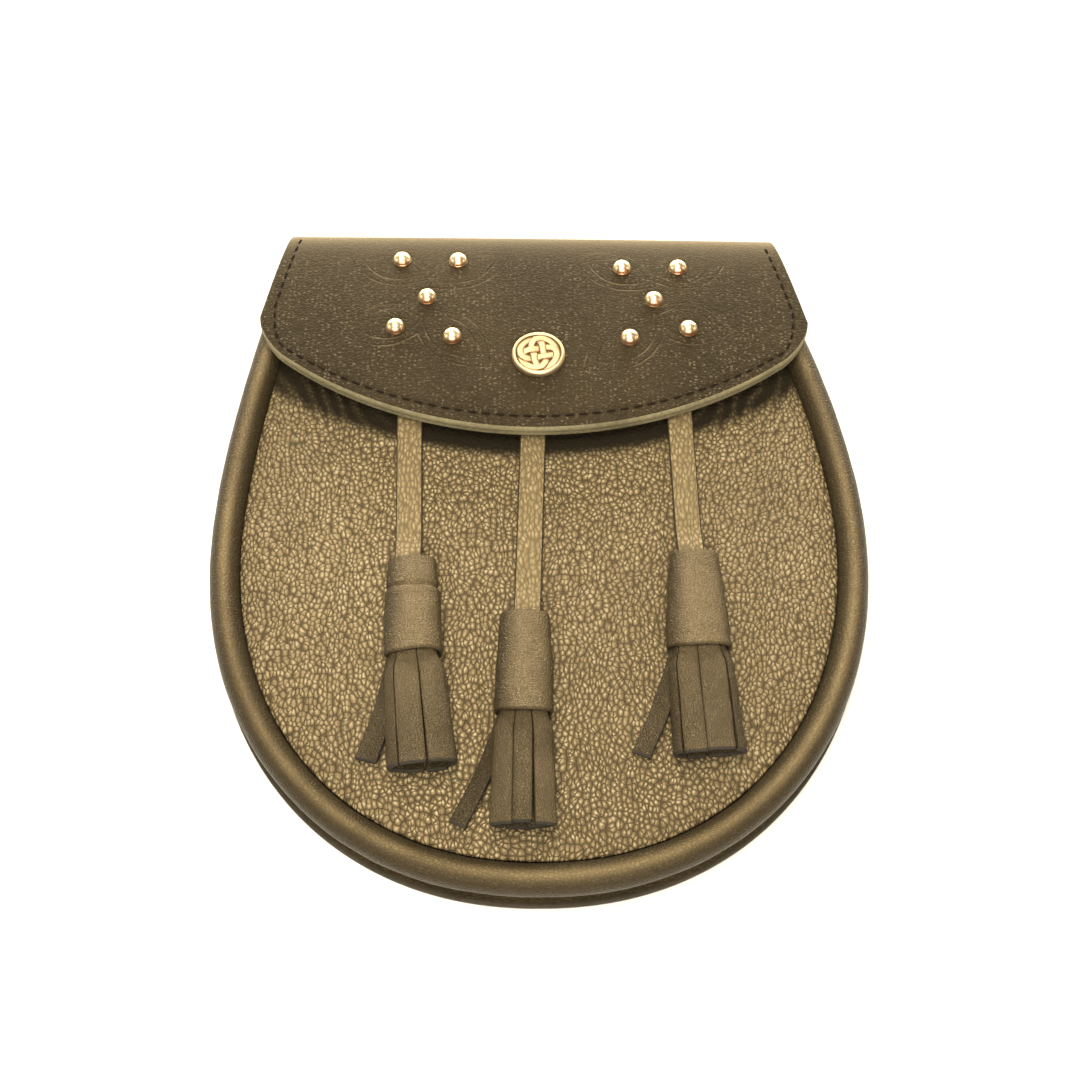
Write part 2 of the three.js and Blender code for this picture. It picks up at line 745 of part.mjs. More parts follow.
// Belt loop: a strap with a foot at each end against the hollow of the back
function loopShape() {
  const middle = loopSpan / 2;
  const high = backHollow - seamGap;
  const low = loopWall;
  const side = new THREE.Shape();
  side.moveTo(-middle, 0);
  side.lineTo(middle, 0);
  side.lineTo(middle + loopSlant, high - loopWall);
  side.lineTo(middle + loopSlant + loopFoot, high - loopWall);
  side.lineTo(middle + loopSlant + loopFoot, high);
  side.lineTo(middle + loopSlant - loopWall / 2, high);
  side.lineTo(middle - loopWall / 2, low);
  side.lineTo(-middle + loopWall / 2, low);
  side.lineTo(-middle - loopSlant + loopWall / 2, high);
  side.lineTo(-middle - loopSlant - loopFoot, high);
  side.lineTo(-middle - loopSlant - loopFoot, high - loopWall);
  side.lineTo(-middle - loopSlant, high - loopWall);
  side.closePath();
  const geometry = new THREE.ExtrudeGeometry(side, { depth: loopWidth, bevelEnabled: false });
  geometry.translate(0, 0, -loopWidth / 2);
  geometry.rotateX(Math.PI / 2);
  geometry.rotateZ(Math.PI / 2);
  return geometry;
}

// Materials
function finish(color, roughness, metalness) {
  return new THREE.MeshStandardMaterial({ color, roughness, metalness });
}

const pebbledLeather = finish(0x7a6844, 0.55, 0);
const smoothLeather = finish(0x6e5c3e, 0.45, 0);
const flapLeather = finish(0x5f5037, 0.55, 0);
const edgeLeather = finish(0x6a6548, 0.7, 0);
const strapLeather = finish(0x8c7d55, 0.5, 0);
const fringeLeather = finish(0x5f523a, 0.6, 0);
const paleGold = finish(0xfadaa5, 0.3, 1);

const sporran = new THREE.Group();
const flapGroup = new THREE.Group();
flapGroup.rotation.z = THREE.MathUtils.degToRad(flapTurn);
flapGroup.position.x = flapShift;
sporran.add(flapGroup);

function addPiece(parent, name, geometry, material) {
  const mesh = new THREE.Mesh(geometry, material);
  mesh.name = name;
  parent.add(mesh);
  return mesh;
}

addPiece(sporran, 'back_panel', backPanel(), edgeLeather);
addPiece(sporran, 'gusset', gusset(), smoothLeather);
addPiece(sporran, 'front_panel', frontPanel(), pebbledLeather);
addPiece(sporran, 'front_welt', frontWelt(), smoothLeather);
addPiece(flapGroup, 'flap_outer', flapSheet(0, flapWall, flapTail, flapColumns), flapLeather);
const lining = flapSheet(flapWall + seamGap, liningWall, liningTail, liningColumns);
addPiece(flapGroup, 'flap_lining', lining, edgeLeather);
for (const place of studPlaces) {
  seatOnFlap(addPiece(flapGroup, `stud_${place.name}`, studShape(), paleGold), place);
}
seatOnFlap(addPiece(flapGroup, 'concho', conchoShape(), paleGold), conchoPlace);
addPiece(flapGroup, 'clasp', claspShape(), paleGold);
for (const tassel of tassels) {
  addPiece(sporran, `strap_${tassel.name}`, strapShape(tassel), strapLeather);
  addPiece(sporran, `wrap_${tassel.name}`, wrapShape(tassel), smoothLeather);
  addPiece(sporran, `fringe_${tassel.name}`, fringeShape(tassel), fringeLeather);
}
for (const [name, side] of [['left', -1], ['right', 1]]) {
  const loop = addPiece(sporran, `belt_loop_${name}`, loopShape(), smoothLeather);
  loop.position.set((side * loopSpread) / 2, widestY + loopRise, 0);
}

export default sporran;
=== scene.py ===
# Looks of the leather sporran pouch, laid over its fixed solids. Sizes are in millimetres
# and turned to metres where each piece is made. +X is the right side seen from the front,
# +Y points to the fold of the flap and +Z out of the front.
import math

import bmesh
import bpy
import numpy as np
from mathutils import Matrix, Vector, kdtree, noise


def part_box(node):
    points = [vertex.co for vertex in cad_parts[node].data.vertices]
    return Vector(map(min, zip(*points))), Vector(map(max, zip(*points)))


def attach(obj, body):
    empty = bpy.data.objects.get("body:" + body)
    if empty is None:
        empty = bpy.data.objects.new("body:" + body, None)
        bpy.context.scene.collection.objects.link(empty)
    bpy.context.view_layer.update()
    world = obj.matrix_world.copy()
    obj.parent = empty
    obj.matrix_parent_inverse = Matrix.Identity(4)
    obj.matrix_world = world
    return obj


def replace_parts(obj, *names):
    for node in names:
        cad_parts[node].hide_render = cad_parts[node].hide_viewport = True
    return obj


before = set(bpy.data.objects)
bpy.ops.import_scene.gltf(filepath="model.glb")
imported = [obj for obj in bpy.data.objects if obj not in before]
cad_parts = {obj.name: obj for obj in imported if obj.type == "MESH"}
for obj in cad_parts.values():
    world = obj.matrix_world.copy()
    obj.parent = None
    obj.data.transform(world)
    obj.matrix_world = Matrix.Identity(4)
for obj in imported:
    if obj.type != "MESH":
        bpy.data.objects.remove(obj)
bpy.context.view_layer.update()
scene = bpy.context.scene
MM = 0.001

# Sizes that the solids have too

HALF_WIDTH = 95.8
BOWL_DEPTH = 106.6
BOWL_FULLNESS = 2.16
MOUTH_RISE = 76.0
MOUTH_NARROWING = 12.4
NARROWING_POWER = 1.7
MOUTH_LEAN = -2.6
FOLD_RISE = 109.2
WIDEST_Y = -1.853
MOUTH_Y = WIDEST_Y + MOUTH_RISE
FOLD_Y = WIDEST_Y + FOLD_RISE
WELT_RADIUS = 4.6
WELT_HEIGHT = 11.4
PANEL_INSET = 9.5
PANEL_EDGE = 12.6
PANEL_TOP = 19.6
CROWN_POWER = 2.6
MOUTH_LIFT = 4.5
PANEL_WALL = 2.0
GUSSET_WALL = 1.8
GUSSET_INSET = 0.9
GUSSET_BULGE = 0.35
PUCKER_DEPTH = 0.22
PUCKER_LENGTH = 7.5
GATHER_DEPTH = 0.42
GATHER_SPACING = 4.6
BACK_HOLLOW = 7.2
BACK_WALL = 2.4
BACK_RIM_BAND = 6.5
BACK_TOP_INSET = 15.0
BACK_TOP_HALF = HALF_WIDTH - MOUTH_NARROWING - 7.0
HOLLOW_TOP = FOLD_Y - 17.0 - 13.0 - 12.0
FLAP_CORNER_HALF = 85.4
FLAP_FOLD_HALF = 77.9
FLAP_HEM_RISE = 28.8
FLAP_HEM_RADIUS = 122.0
FLAP_CORNER_RADIUS = 9.0
FLAP_HEIGHT = 26.5
FOLD_HEIGHT = 11.5
FLAP_SIDE_DROP = 4.2
FLAP_SIDE_POWER = 2.2
FLAP_CURVE = 1.8
FOLD_RETURN = 17.0
FLAP_TAIL = 13.0
FLAP_TAIL_HALF = 68.0
FLAP_TURN = math.radians(-0.8)
FLAP_SHIFT = -2.6
FOLD_SHIFT = -1.3
FLAP_WALL = 2.1
LINING_WALL = 1.5
SEAM_GAP = 0.3
HEM_Y = WIDEST_Y + FLAP_HEM_RISE
FLAP_RUN = FOLD_Y - HEM_Y
TAIL_HEIGHT = BACK_WALL + SEAM_GAP

# Studs and the button: across the flap, and up from the lowest point of its hem
STUDS = {
    "left_1": (-41.6, 66.0), "left_2": (-24.0, 65.6), "left_3": (-32.9, 49.6),
    "left_4": (-42.0, 37.6), "left_5": (-24.5, 33.8),
    "right_1": (27.2, 63.1), "right_2": (44.7, 63.8), "right_3": (36.8, 49.6),
    "right_4": (29.2, 34.1), "right_5": (47.1, 38.3),
}
BUTTON = (1.7, 26.5)
BUTTON_RADIUS = 8.0
STUD_DOME = 2.8

# Pressed leaves: outer tip, inner tip and half width, in the same coordinates
LEAVES = [
    ((-58.2, 68.4), (-31.6, 58.0), 7.4), ((-7.4, 70.4), (-33.6, 54.2), 7.4),
    ((-58.2, 35.4), (-30.2, 42.6), 8.0), ((-12.8, 22.4), (-36.4, 44.6), 8.0),
    ((12.2, 68.6), (37.6, 55.4), 7.4), ((59.4, 67.2), (35.8, 58.4), 7.4),
    ((15.6, 21.4), (40.6, 42.4), 8.0), ((60.4, 38.0), (33.8, 43.6), 8.0),
]
LEAF_INNER_LINE = 2.5
FAR_FROM_LINES = 3.0

# Seam round the flap
STITCH_INSET = 4.9
STITCH_CORNER = 7.0
STITCH_PITCH = 4.1
STITCH_LENGTH = 2.9
STITCH_HALF_WIDTH = 0.44
STITCH_HALF_HEIGHT = 0.34
STITCH_SUNK = 0.16
SEAM_CHANNEL = 0.16
DIMPLE_DEPTH = 0.14
# Reach of the painted reflection down from the flap's fold
FOLD_REFLECTION_REACH = 3.5
SEAM_STEP = 0.25

# Tassels, from the middle of the widest line: strap, wrap, fringe and its loose strip, and
# the cuts seen at the fringe's tip, as lengths round it from its right side
TASSELS = {
    "left": dict(strap=-38.5, strap_end=-37.0, top=(-35.9, -13.4), end=(-34.6, -41.8), end_width=16.9,
                 tip=(-31.2, -73.8), tip_width=18.8, splay=(-46.8, -70.4), splay_width=6.2,
                 cuts=(1.7, 10.4, 18.2, 23.4), crease=0.31, seed=3),
    "centre": dict(strap=-1.6, strap_end=-3.3, top=(-3.8, -30.4), end=(-4.1, -59.2), end_width=16.8,
                   tip=(-4.1, -89.8), tip_width=17.6, splay=(-21.6, -88.2), splay_width=4.9,
                   cuts=(1.5, 8.4, 14.2, 22.2), crease=0.0, seed=11),
    "right": dict(strap=41.9, strap_end=43.2, top=(43.9, -11.4), end=(44.1, -40.0), end_width=18.4,
                  tip=(46.2, -69.9), tip_width=19.6, splay=(27.8, -69.2), splay_width=5.4,
                  cuts=(-1.4, 4.8, 13.1, 20.0, 24.6), crease=0.0, seed=23),
}
STRAP_HALF = 3.85
STRAP_WALL = 1.7
STRAP_TOP_Y = WIDEST_Y + 47.0
STRAP_TUCK = 6.0
WRAP_WALL = 1.6
WRAP_LAP = math.radians(26)
WRAP_START = math.radians(-62)
WRAP_TOP_WIDTH = 14.2
WRAP_TOP_DEPTH = 8.6
WRAP_END_DEPTH = 10.4
FRINGE_DEPTH = 9.2

# Belt loops: half of the raised middle, then the slant and the sewn foot
LOOP_WALL = 2.0
LOOP_MIDDLE = 17.0
LOOP_SLANT = 5.0
LOOP_FOOT = 8.0


# Camera, at the photograph's angle

CAMERA_ELEVATION = math.radians(62)
CAMERA_TARGET = Vector((0.0003, WIDEST_Y * MM, 0.012))
CAMERA_DISTANCE = 0.52
CAMERA_LENS = 59.32


def placed_object(name, data):
    made = bpy.data.objects.new(name, data)
    scene.collection.objects.link(made)
    return made


def place_camera():
    data = bpy.data.cameras.new("view_camera")
    camera = placed_object("view_camera", data)
    back = Vector((0, -math.cos(CAMERA_ELEVATION), math.sin(CAMERA_ELEVATION)))
    camera.location = CAMERA_TARGET + back * CAMERA_DISTANCE
    camera.rotation_mode = "QUATERNION"
    camera.rotation_quaternion = (-back).to_track_quat("-Z", "Y")
    data.sensor_width = 36
    data.lens = CAMERA_LENS
    data.clip_start, data.clip_end = 0.01, 20
    scene.camera = camera


# Node helpers

class Recipe:
    """A leather or metal finish, put together node by node."""

    def __init__(self, name):
        self.material = bpy.data.materials.new(name)
        self.material.use_nodes = True
        self.tree = self.material.node_tree
        self.shader = next(n for n in self.tree.nodes if n.type == "BSDF_PRINCIPLED")
        self.spot = 0

    def feed(self, target, value):
        """Link an output to this input, or give it a plain value."""
        if hasattr(value, "links"):
            self.tree.links.new(value, target)
        elif value is not None:
            target.default_value = value

    def node(self, kind, inputs, **settings):
        made = self.tree.nodes.new(kind)
        self.spot += 1
        made.location = (-220 * (1 + self.spot % 7), -260 * (self.spot // 7))
        for key, value in settings.items():
            setattr(made, key, value)
        for socket, value in inputs.items():
            self.feed(made.inputs[socket], value)
        return made

    def coordinates(self):
        return self.node("ShaderNodeTexCoord", {}).outputs["Object"]

    def attribute(self, name):
        return self.node("ShaderNodeAttribute", {}, attribute_name=name).outputs["Fac"]

    def noise(self, vector, scale, detail=3.0, roughness=0.55):
        return self.node("ShaderNodeTexNoise", {
            "Vector": vector, "Scale": scale, "Detail": detail, "Roughness": roughness}).outputs["Fac"]

    def cells(self, vector, scale, feature="F1", flat=False, output="Distance"):
        return self.node("ShaderNodeTexVoronoi", {"Vector": vector, "Scale": scale}, feature=feature,
                         voronoi_dimensions="2D" if flat else "3D").outputs[output]

    def chances(self, vector, scale, flat):
        """Three chance values for each cell."""
        color = self.cells(vector, scale, flat=flat, output="Color")
        return self.node("ShaderNodeSeparateColor", {0: color}).outputs

    def maths(self, operation, a, b=0.0, clamp=False):
        return self.node("ShaderNodeMath", {0: a, 1: b}, operation=operation, use_clamp=clamp).outputs[0]

    def times(self, a, b):
        return self.maths("MULTIPLY", a, b)

    def plus(self, a, b, clamp=False):
        return self.maths("ADD", a, b, clamp)

    def stretch(self, value, low, high, to_low=0.0, to_high=1.0):
        """Smooth step from one range to another."""
        return self.node("ShaderNodeMapRange", {
            "Value": value, "From Min": low, "From Max": high, "To Min": to_low, "To Max": to_high,
        }, interpolation_type="SMOOTHSTEP").outputs["Result"]

    def blend(self, share, a, b):
        a, b = ((*value, 1.0) if isinstance(value, tuple) else value for value in (a, b))
        return self.node("ShaderNodeMix", {"Factor": share, 6: a, 7: b}, data_type="RGBA").outputs[2]

    def warped(self, vector, scale, amount):
        """The same coordinates, pushed about a little so that cells aren't regular."""
        wander = self.node("ShaderNodeTexNoise", {"Vector": vector, "Scale": scale, "Detail": 2.0}).outputs["Color"]
        centred = self.node("ShaderNodeVectorMath", {0: wander, 1: (0.5, 0.5, 0.5)}, operation="SUBTRACT")
        push = self.node("ShaderNodeVectorMath", {0: centred.outputs[0], "Scale": amount}, operation="SCALE")
        return self.node("ShaderNodeVectorMath", {0: vector, 1: push.outputs[0]}, operation="ADD").outputs[0]

    def stretched(self, vector, scale):
        return self.node("ShaderNodeMapping", {"Vector": vector, "Scale": scale}).outputs[0]

    def relief(self, height, depth, strength=1.0, below=None):
        return self.node("ShaderNodeBump", {
            "Distance": depth, "Strength": strength, "Height": height, "Normal": below}).outputs["Normal"]

    def finish(self, color, roughness, normal=None, metallic=0.0, specular=0.5, tint=(1.0, 1.0, 1.0), bloom=0.0):
        for socket, value in {
            "Base Color": color, "Roughness": roughness, "Metallic": metallic, "Specular IOR Level": specular,
            "Specular Tint": (*tint, 1.0), "Sheen Weight": bloom, "Sheen Roughness": 0.3,
            "Sheen Tint": (1.0, 0.86, 0.60, 1.0), "Normal": normal,
        }.items():
            self.feed(self.shader.inputs[socket], value)
        return self.material


def shaded(color, share):
    return tuple(part * share for part in color)


# Leathers, thread and metal. Scales are cells to the metre, depths are in metres

WARM = (1.0, 0.80, 0.52)
# Pale colour of the painted reflection along the flap's fold
FOLD_REFLECTION = (0.31, 0.25, 0.16)
PORE_DEPTH = 0.00004


def pebbled_leather(name, crease, pebble, crown, scale, depth, gloss, slender, gap):
    """Small rounded pebbles with dark creases between them, as on the front and the straps. The dark creases are
    partly the grain's own colour and partly painted shade; the bright crowns are painted highlights, and the shade
    mark paints the shadow under the flap's hem.
    """
    r = Recipe(name)
    wandering = r.warped(r.coordinates(), 90.0, 0.0030)
    where = r.stretched(r.warped(wandering, 420.0, 0.0007), (1.0, slender, 1.0))
    edges = r.cells(where, scale, "DISTANCE_TO_EDGE", flat=True)
    middles = r.cells(where, scale, flat=True)
    size_chance, highlight_chance, _ = r.chances(where, scale, flat=True)
    pores = r.noise(r.coordinates(), 3000.0, 2.0)
    broad = r.noise(r.coordinates(), 26.0)
    open_gap = r.noise(r.coordinates(), 75.0)
    away = r.times(middles, r.stretch(size_chance, 0.0, 1.0, 0.88, 1.22))
    away = r.plus(away, r.stretch(open_gap, 0.40, 0.72, -gap * 0.5, gap * 0.3))
    bead = r.stretch(away, 0.62, 0.12)
    groove = r.stretch(edges, 0.0, 0.16)
    height = r.plus(r.times(bead, 0.75), r.times(groove, 0.25))
    # The creases between pebbles are darker: partly the grain's own colour, partly painted shade.
    on_pebble = r.times(r.stretch(away, 0.72, 0.44), r.stretch(edges, 0.0, 0.13, 0.34, 1.0))
    tone = r.blend(on_pebble, crease, pebble)
    # Painted highlight: a bright crown on top of each pebble, for the light that it catches.
    crown_highlight = r.times(r.stretch(away, 0.44, 0.12), r.stretch(highlight_chance, 0.25, 1.0, 0.08, 1.0))
    tone = r.blend(crown_highlight, tone, crown)
    tone = r.blend(r.stretch(broad, 0.35, 0.72, 0.0, 0.22), tone, crease)
    shade = r.attribute("shade")
    tone = r.blend(shade, tone, shaded(crease, 0.05))
    rough = r.plus(r.stretch(height, 0.0, 0.9, gloss + 0.25, gloss), shade, clamp=True)
    normal = r.relief(pores, PORE_DEPTH, 0.5, r.relief(height, depth))
    return r.finish(tone, rough, normal, tint=WARM)


def grained_leather(name, dark, light, glint_color, grain, depth, gloss, glint_amount, shine=0.5, bloom=0.0, flap=False):
    """Smooth leather with a fine grain and small bright dots where the grain stands up, which are painted glints; the
    pressing mark darkens it as painted shade.
    """
    r = Recipe(name)
    where = r.stretched(r.warped(r.warped(r.coordinates(), 500.0, 0.0007), 140.0, 0.0022), (0.72, 1.0, 1.0))
    edges = r.cells(where, grain, "DISTANCE_TO_EDGE")
    grains = r.stretch(edges, 0.0, 0.24)
    dots = r.cells(where, grain * 1.15, flat=flap)
    chance = r.chances(where, grain * 1.15, flat=flap)[0]
    pores = r.noise(r.coordinates(), 3600.0, 2.0)
    broad = r.noise(r.coordinates(), 30.0, 4.0)
    patches = r.noise(r.coordinates(), 70.0)
    # Painted glints: small bright dots on scattered raised grains, fewer in some patches and, on the flap, near the
    # fold.
    chosen = r.times(r.stretch(chance, 0.40, 1.0), r.stretch(patches, 0.30, 0.66, 0.30, 1.0))
    if flap:
        chosen = r.times(chosen, r.stretch(r.attribute("fold_reflection"), 0.0, 0.06, 1.0, 0.12))
    ragged = r.plus(dots, r.stretch(r.noise(r.coordinates(), 2200.0, 2.0), 0.3, 0.7, -0.10, 0.16))
    glint_spots = r.times(r.stretch(ragged, 0.36, 0.16), chosen)
    tone = r.blend(r.stretch(broad, 0.3, 0.72), dark, light)
    tone = r.blend(r.stretch(edges, 0.10, 0.0, 0.0, 0.45), tone, shaded(dark, 0.5))
    # The glints are painted here in a bright colour.
    tone = r.blend(r.times(glint_spots, glint_amount), tone, glint_color)
    # The pressing mark darkens the leather: painted shade in pressed grooves and on sides turned from the light,
    # partly the fringe strips' own varying tone, and on the back a dark seam line.
    tone = r.blend(r.attribute("press_and_shade"), tone, shaded(dark, 0.28))
    height = r.plus(r.times(grains, 0.6), r.times(glint_spots, 0.8))
    rough = r.stretch(glint_spots, 0.0, 1.0, gloss + 0.04, gloss - 0.08)
    normal = r.relief(pores, PORE_DEPTH, 0.45, r.relief(height, depth))
    if flap:
        # Pressed lines: painted shade in each groove, and a painted highlight along one lip, broken up at random.
        highlight_breaks = r.stretch(r.noise(r.coordinates(), 110.0), 0.46, 0.66)
        for line in ("leaf", "vein"):
            distance = r.attribute(line)
            groove = r.stretch(r.maths("ABSOLUTE", distance), 0.42, 0.06)
            lip = r.stretch(r.maths("ABSOLUTE", r.plus(distance, -0.34)), 0.34, 0.05)
            tone = r.blend(r.times(groove, 0.25), tone, shaded(dark, 0.5))
            tone = r.blend(r.times(r.times(lip, highlight_breaks), 0.36), tone, glint_color)
            normal = r.relief(r.maths("SUBTRACT", 1.0, groove), 0.00016, 0.7, normal)
        # Painted reflection along the fold, in a pale colour, for the light that the fold catches.
        tone = r.blend(r.attribute("fold_reflection"), tone, FOLD_REFLECTION)
    return r.finish(tone, rough, normal, specular=shine, tint=WARM, bloom=bloom)


def edge_leather(name, dark, light):
    """Cut edges and the plain inner side: matt, fibrous, slightly green."""
    r = Recipe(name)
    fibres = r.noise(r.stretched(r.coordinates(), (1.0, 1.0, 3.0)), 900.0, 5.0, 0.7)
    broad = r.noise(r.coordinates(), 60.0, 4.0)
    tone = r.blend(r.stretch(r.plus(r.times(fibres, 0.6), r.times(broad, 0.4)), 0.3, 0.7), dark, light)
    return r.finish(tone, 0.72, r.relief(fibres, 0.00018), specular=0.3)


def thread_finish():
    r = Recipe("stitching_thread")
    twist = r.node("ShaderNodeTexWave", {"Vector": r.coordinates(), "Scale": 900.0, "Distortion": 1.5},
                   wave_type="BANDS", bands_direction="DIAGONAL").outputs["Fac"]
    tone = r.blend(twist, (0.0060, 0.0038, 0.0019), (0.014, 0.0092, 0.0050))
    return r.finish(tone, 0.85, r.relief(twist, 0.00008), specular=0.08)


def gold_finish():
    """Pale gold plate, bright on top and darkened in the hollows, partly as dark patina and partly as painted shade;
    the button's rim and band tops are dimmed too, and the studs' front sides carry a painted reddish reflection of the
    leather.
    """
    r = Recipe("pale_gold")
    gold_darkening = r.attribute("gold_darkening")
    scuffs = r.noise(r.coordinates(), 420.0, 4.0)
    fine = r.noise(r.coordinates(), 2400.0, 2.0)
    tone = r.blend(r.stretch(scuffs, 0.3, 0.75), (0.96, 0.73, 0.44), (1.0, 0.84, 0.58))
    # Painted reflection: the leather's reddish brown on the studs' lower, front sides.
    tone = r.blend(r.attribute("leather_reflection"), tone, (0.62, 0.27, 0.13))
    # Darker in the hollows, partly as dark patina and partly as painted shade; on the button's rim and band tops this
    # only dims the gold.
    tone = r.blend(r.times(gold_darkening, r.stretch(fine, 0.2, 0.6, 0.75, 1.0)), tone, (0.20, 0.115, 0.046))
    rough = r.plus(r.stretch(scuffs, 0.3, 0.8, 0.30, 0.40), r.times(gold_darkening, 0.3), clamp=True)
    return r.finish(tone, rough, r.relief(fine, 0.00002, 0.35), metallic=1.0)


def floor_finish():
    r = Recipe("pale_floor")
    tone = r.blend(r.noise(r.coordinates(), 3.0, 2.0), (0.86, 0.86, 0.86), (0.88, 0.88, 0.88))
    return r.finish(tone, 0.9, specular=0.2)


# The crown colours are painted highlights on the pebbles' tops, and the bright grain colours of the smooth leathers
# are painted glints.
FRONT_LEATHER = pebbled_leather(
    "front_pebbled_leather", crease=(0.048, 0.034, 0.0165), pebble=(0.192, 0.1425, 0.073),
    crown=(0.325, 0.264, 0.156), scale=720.0, depth=0.00066, gloss=0.38, slender=0.88, gap=0.08)
STRAP_LEATHER = pebbled_leather(
    "strap_leather", crease=(0.102, 0.075, 0.037), pebble=(0.168, 0.126, 0.064),
    crown=(0.26, 0.205, 0.108), scale=850.0, depth=0.00026, gloss=0.42, slender=0.55, gap=0.12)
FLAP_LEATHER = grained_leather(
    "flap_leather", dark=(0.0235, 0.0172, 0.0091), light=(0.0350, 0.0258, 0.0140), glint_color=(0.24, 0.195, 0.12),
    grain=850.0, depth=0.00022, gloss=0.50, glint_amount=0.46, shine=0.08, bloom=0.15, flap=True)
WELT_LEATHER = grained_leather(
    "welt_leather", dark=(0.088, 0.0645, 0.0325), light=(0.170, 0.1265, 0.0645), glint_color=(0.38, 0.295, 0.165),
    grain=1100.0, depth=0.00022, gloss=0.38, glint_amount=0.46, shine=0.25, bloom=0.03)
WRAP_LEATHER = grained_leather(
    "wrap_leather", dark=(0.056, 0.0400, 0.0190), light=(0.100, 0.0730, 0.0362), glint_color=(0.30, 0.225, 0.125),
    grain=1500.0, depth=0.00022, gloss=0.34, glint_amount=0.45, shine=0.6)
FRINGE_LEATHER = grained_leather(
    "fringe_leather", dark=(0.046, 0.0332, 0.0170), light=(0.090, 0.0670, 0.0362), glint_color=(0.26, 0.20, 0.11),
    grain=1700.0, depth=0.00034, gloss=0.46, glint_amount=0.55)
BACK_LEATHER = grained_leather(
    "back_leather", dark=(0.030, 0.0225, 0.0112), light=(0.050, 0.038, 0.0192), glint_color=(0.20, 0.155, 0.08),
    grain=1000.0, depth=0.00016, gloss=0.48, glint_amount=0.2)
EDGE_LEATHER = edge_leather("cut_edge_leather", (0.085, 0.072, 0.037), (0.210, 0.182, 0.100))
DARK_EDGE = edge_leather("dark_cut_edge", (0.022, 0.0165, 0.0085), (0.052, 0.039, 0.021))
# Nearly black cut edges for the fringe strips: their own dark cut edge, made darker still as painted shade at the
# fringe's ends.
CUT_END = edge_leather("fringe_cut_edge", (0.010, 0.0078, 0.005), (0.034, 0.027, 0.017))
THREAD = thread_finish()
GOLD = gold_finish()


# Mesh helpers

def smoothstep(value, low, high):
    share = np.clip((value - low) / (high - low), 0.0, 1.0)
    return share * share * (3 - 2 * share)


def unit(vectors):
    return vectors / np.maximum(np.linalg.norm(vectors, axis=-1, keepdims=True), 1e-9)


def stacked(*values):
    """Coordinates side by side, a row for each point."""
    return np.stack(np.broadcast_arrays(*values), axis=1)


def run_along(line):
    """Length along a line at each of its points."""
    return np.concatenate([[0], np.cumsum(np.linalg.norm(np.diff(line, axis=0), axis=1))])


def picked(line, where, at):
    """Points of a line in the plane at these places, where its own points have these."""
    return stacked(*(np.interp(at, where, line[:, axis]) for axis in (0, 1)))


def softened(values, width):
    """The same values with their corners rounded over so many steps."""
    kernel = np.hanning(width)
    return np.convolve(np.pad(values, width // 2, mode="edge"), kernel / kernel.sum(), mode="valid")


def skin(name, columns, rows, place, finish, marks=None, cut=None, cut_finish=None):
    """A grid of the given fineness, laid where place(column, row) says, merged where it
    meets itself. marks are named values for the finish; cut marks the faces at a cut edge."""
    mesh_maker = bmesh.new()
    bmesh.ops.create_grid(mesh_maker, x_segments=columns, y_segments=rows, size=0.5)
    mesh_maker.verts.ensure_lookup_table()
    flat = np.array([vertex.co[:2] for vertex in mesh_maker.verts]) + 0.5
    column = np.rint(flat[:, 0] * columns).astype(int)
    row = np.rint(flat[:, 1] * rows).astype(int)
    placed = place(column, row)
    for vertex, spot in zip(mesh_maker.verts, (placed * MM).tolist()):
        vertex.co = spot
    for mark, value_at in (marks or {}).items():
        layer = mesh_maker.verts.layers.float.new(mark)
        for vertex, value in zip(mesh_maker.verts, value_at(column, row).tolist()):
            vertex[layer] = value
    if cut is not None:
        corners = [[vertex.index for vertex in face.verts] for face in mesh_maker.faces]
        which = cut(column[corners].min(axis=1), row[corners].min(axis=1))
        for face, is_cut in zip(mesh_maker.faces, which.tolist()):
            face.material_index = int(is_cut)
    bmesh.ops.remove_doubles(mesh_maker, verts=mesh_maker.verts, dist=1e-6)
    bmesh.ops.recalc_face_normals(mesh_maker, faces=mesh_maker.faces)
    return settle(name, mesh_maker, [finish] if cut_finish is None else [finish, cut_finish])


def meshed(name, mesh_maker, finishes, smooth=True):
    """The finished mesh as an object at the origin."""
    for face in mesh_maker.faces:
        face.smooth = smooth
    mesh = bpy.data.meshes.new(name)
    mesh_maker.to_mesh(mesh)
    mesh_maker.free()
    for finish in finishes:
        mesh.materials.append(finish)
    return placed_object(name, mesh)


def settle(name, mesh_maker, finishes, smooth=True):
    """The same, riding on the pouch."""
    piece = meshed(name, mesh_maker, finishes, smooth)
    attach(piece, "root")
    return piece


EDGE_ARC = 4  # steps round a rounded edge


def slab_rows(outer_rows, inner_rows):
    """For each row of a slab: its share along, and its turn from the outer face (90 degrees)
    round an end to the inner face. The last row meets the first."""
    arc = 180 * np.arange(1, EDGE_ARC) / EDGE_ARC
    along = np.concatenate([np.linspace(0, 1, outer_rows + 1), np.ones(len(arc)),
                            np.linspace(1, 0, inner_rows + 1), np.zeros(len(arc) + 1)])
    turn = np.concatenate([np.full(outer_rows + 1, 90.0), 90 - arc, np.full(inner_rows + 1, -90.0), -90 - arc, [90.0]])
    return along, np.radians(turn)


def slab_columns(middle_columns, edge_share):
    """Places across a slab from -1 to 1, close together at its rounded edges, and how much
    of its thickness is left there."""
    middle = np.linspace(-(1 - edge_share), 1 - edge_share, middle_columns + 1)
    angle = np.radians(90 * np.arange(1, EDGE_ARC + 1) / EDGE_ARC)
    side, thick = 1 - edge_share + edge_share * np.sin(angle), np.cos(angle)
    return (np.concatenate([-side[::-1], middle, side]),
            np.concatenate([thick[::-1], np.ones(middle_columns + 1), thick]))


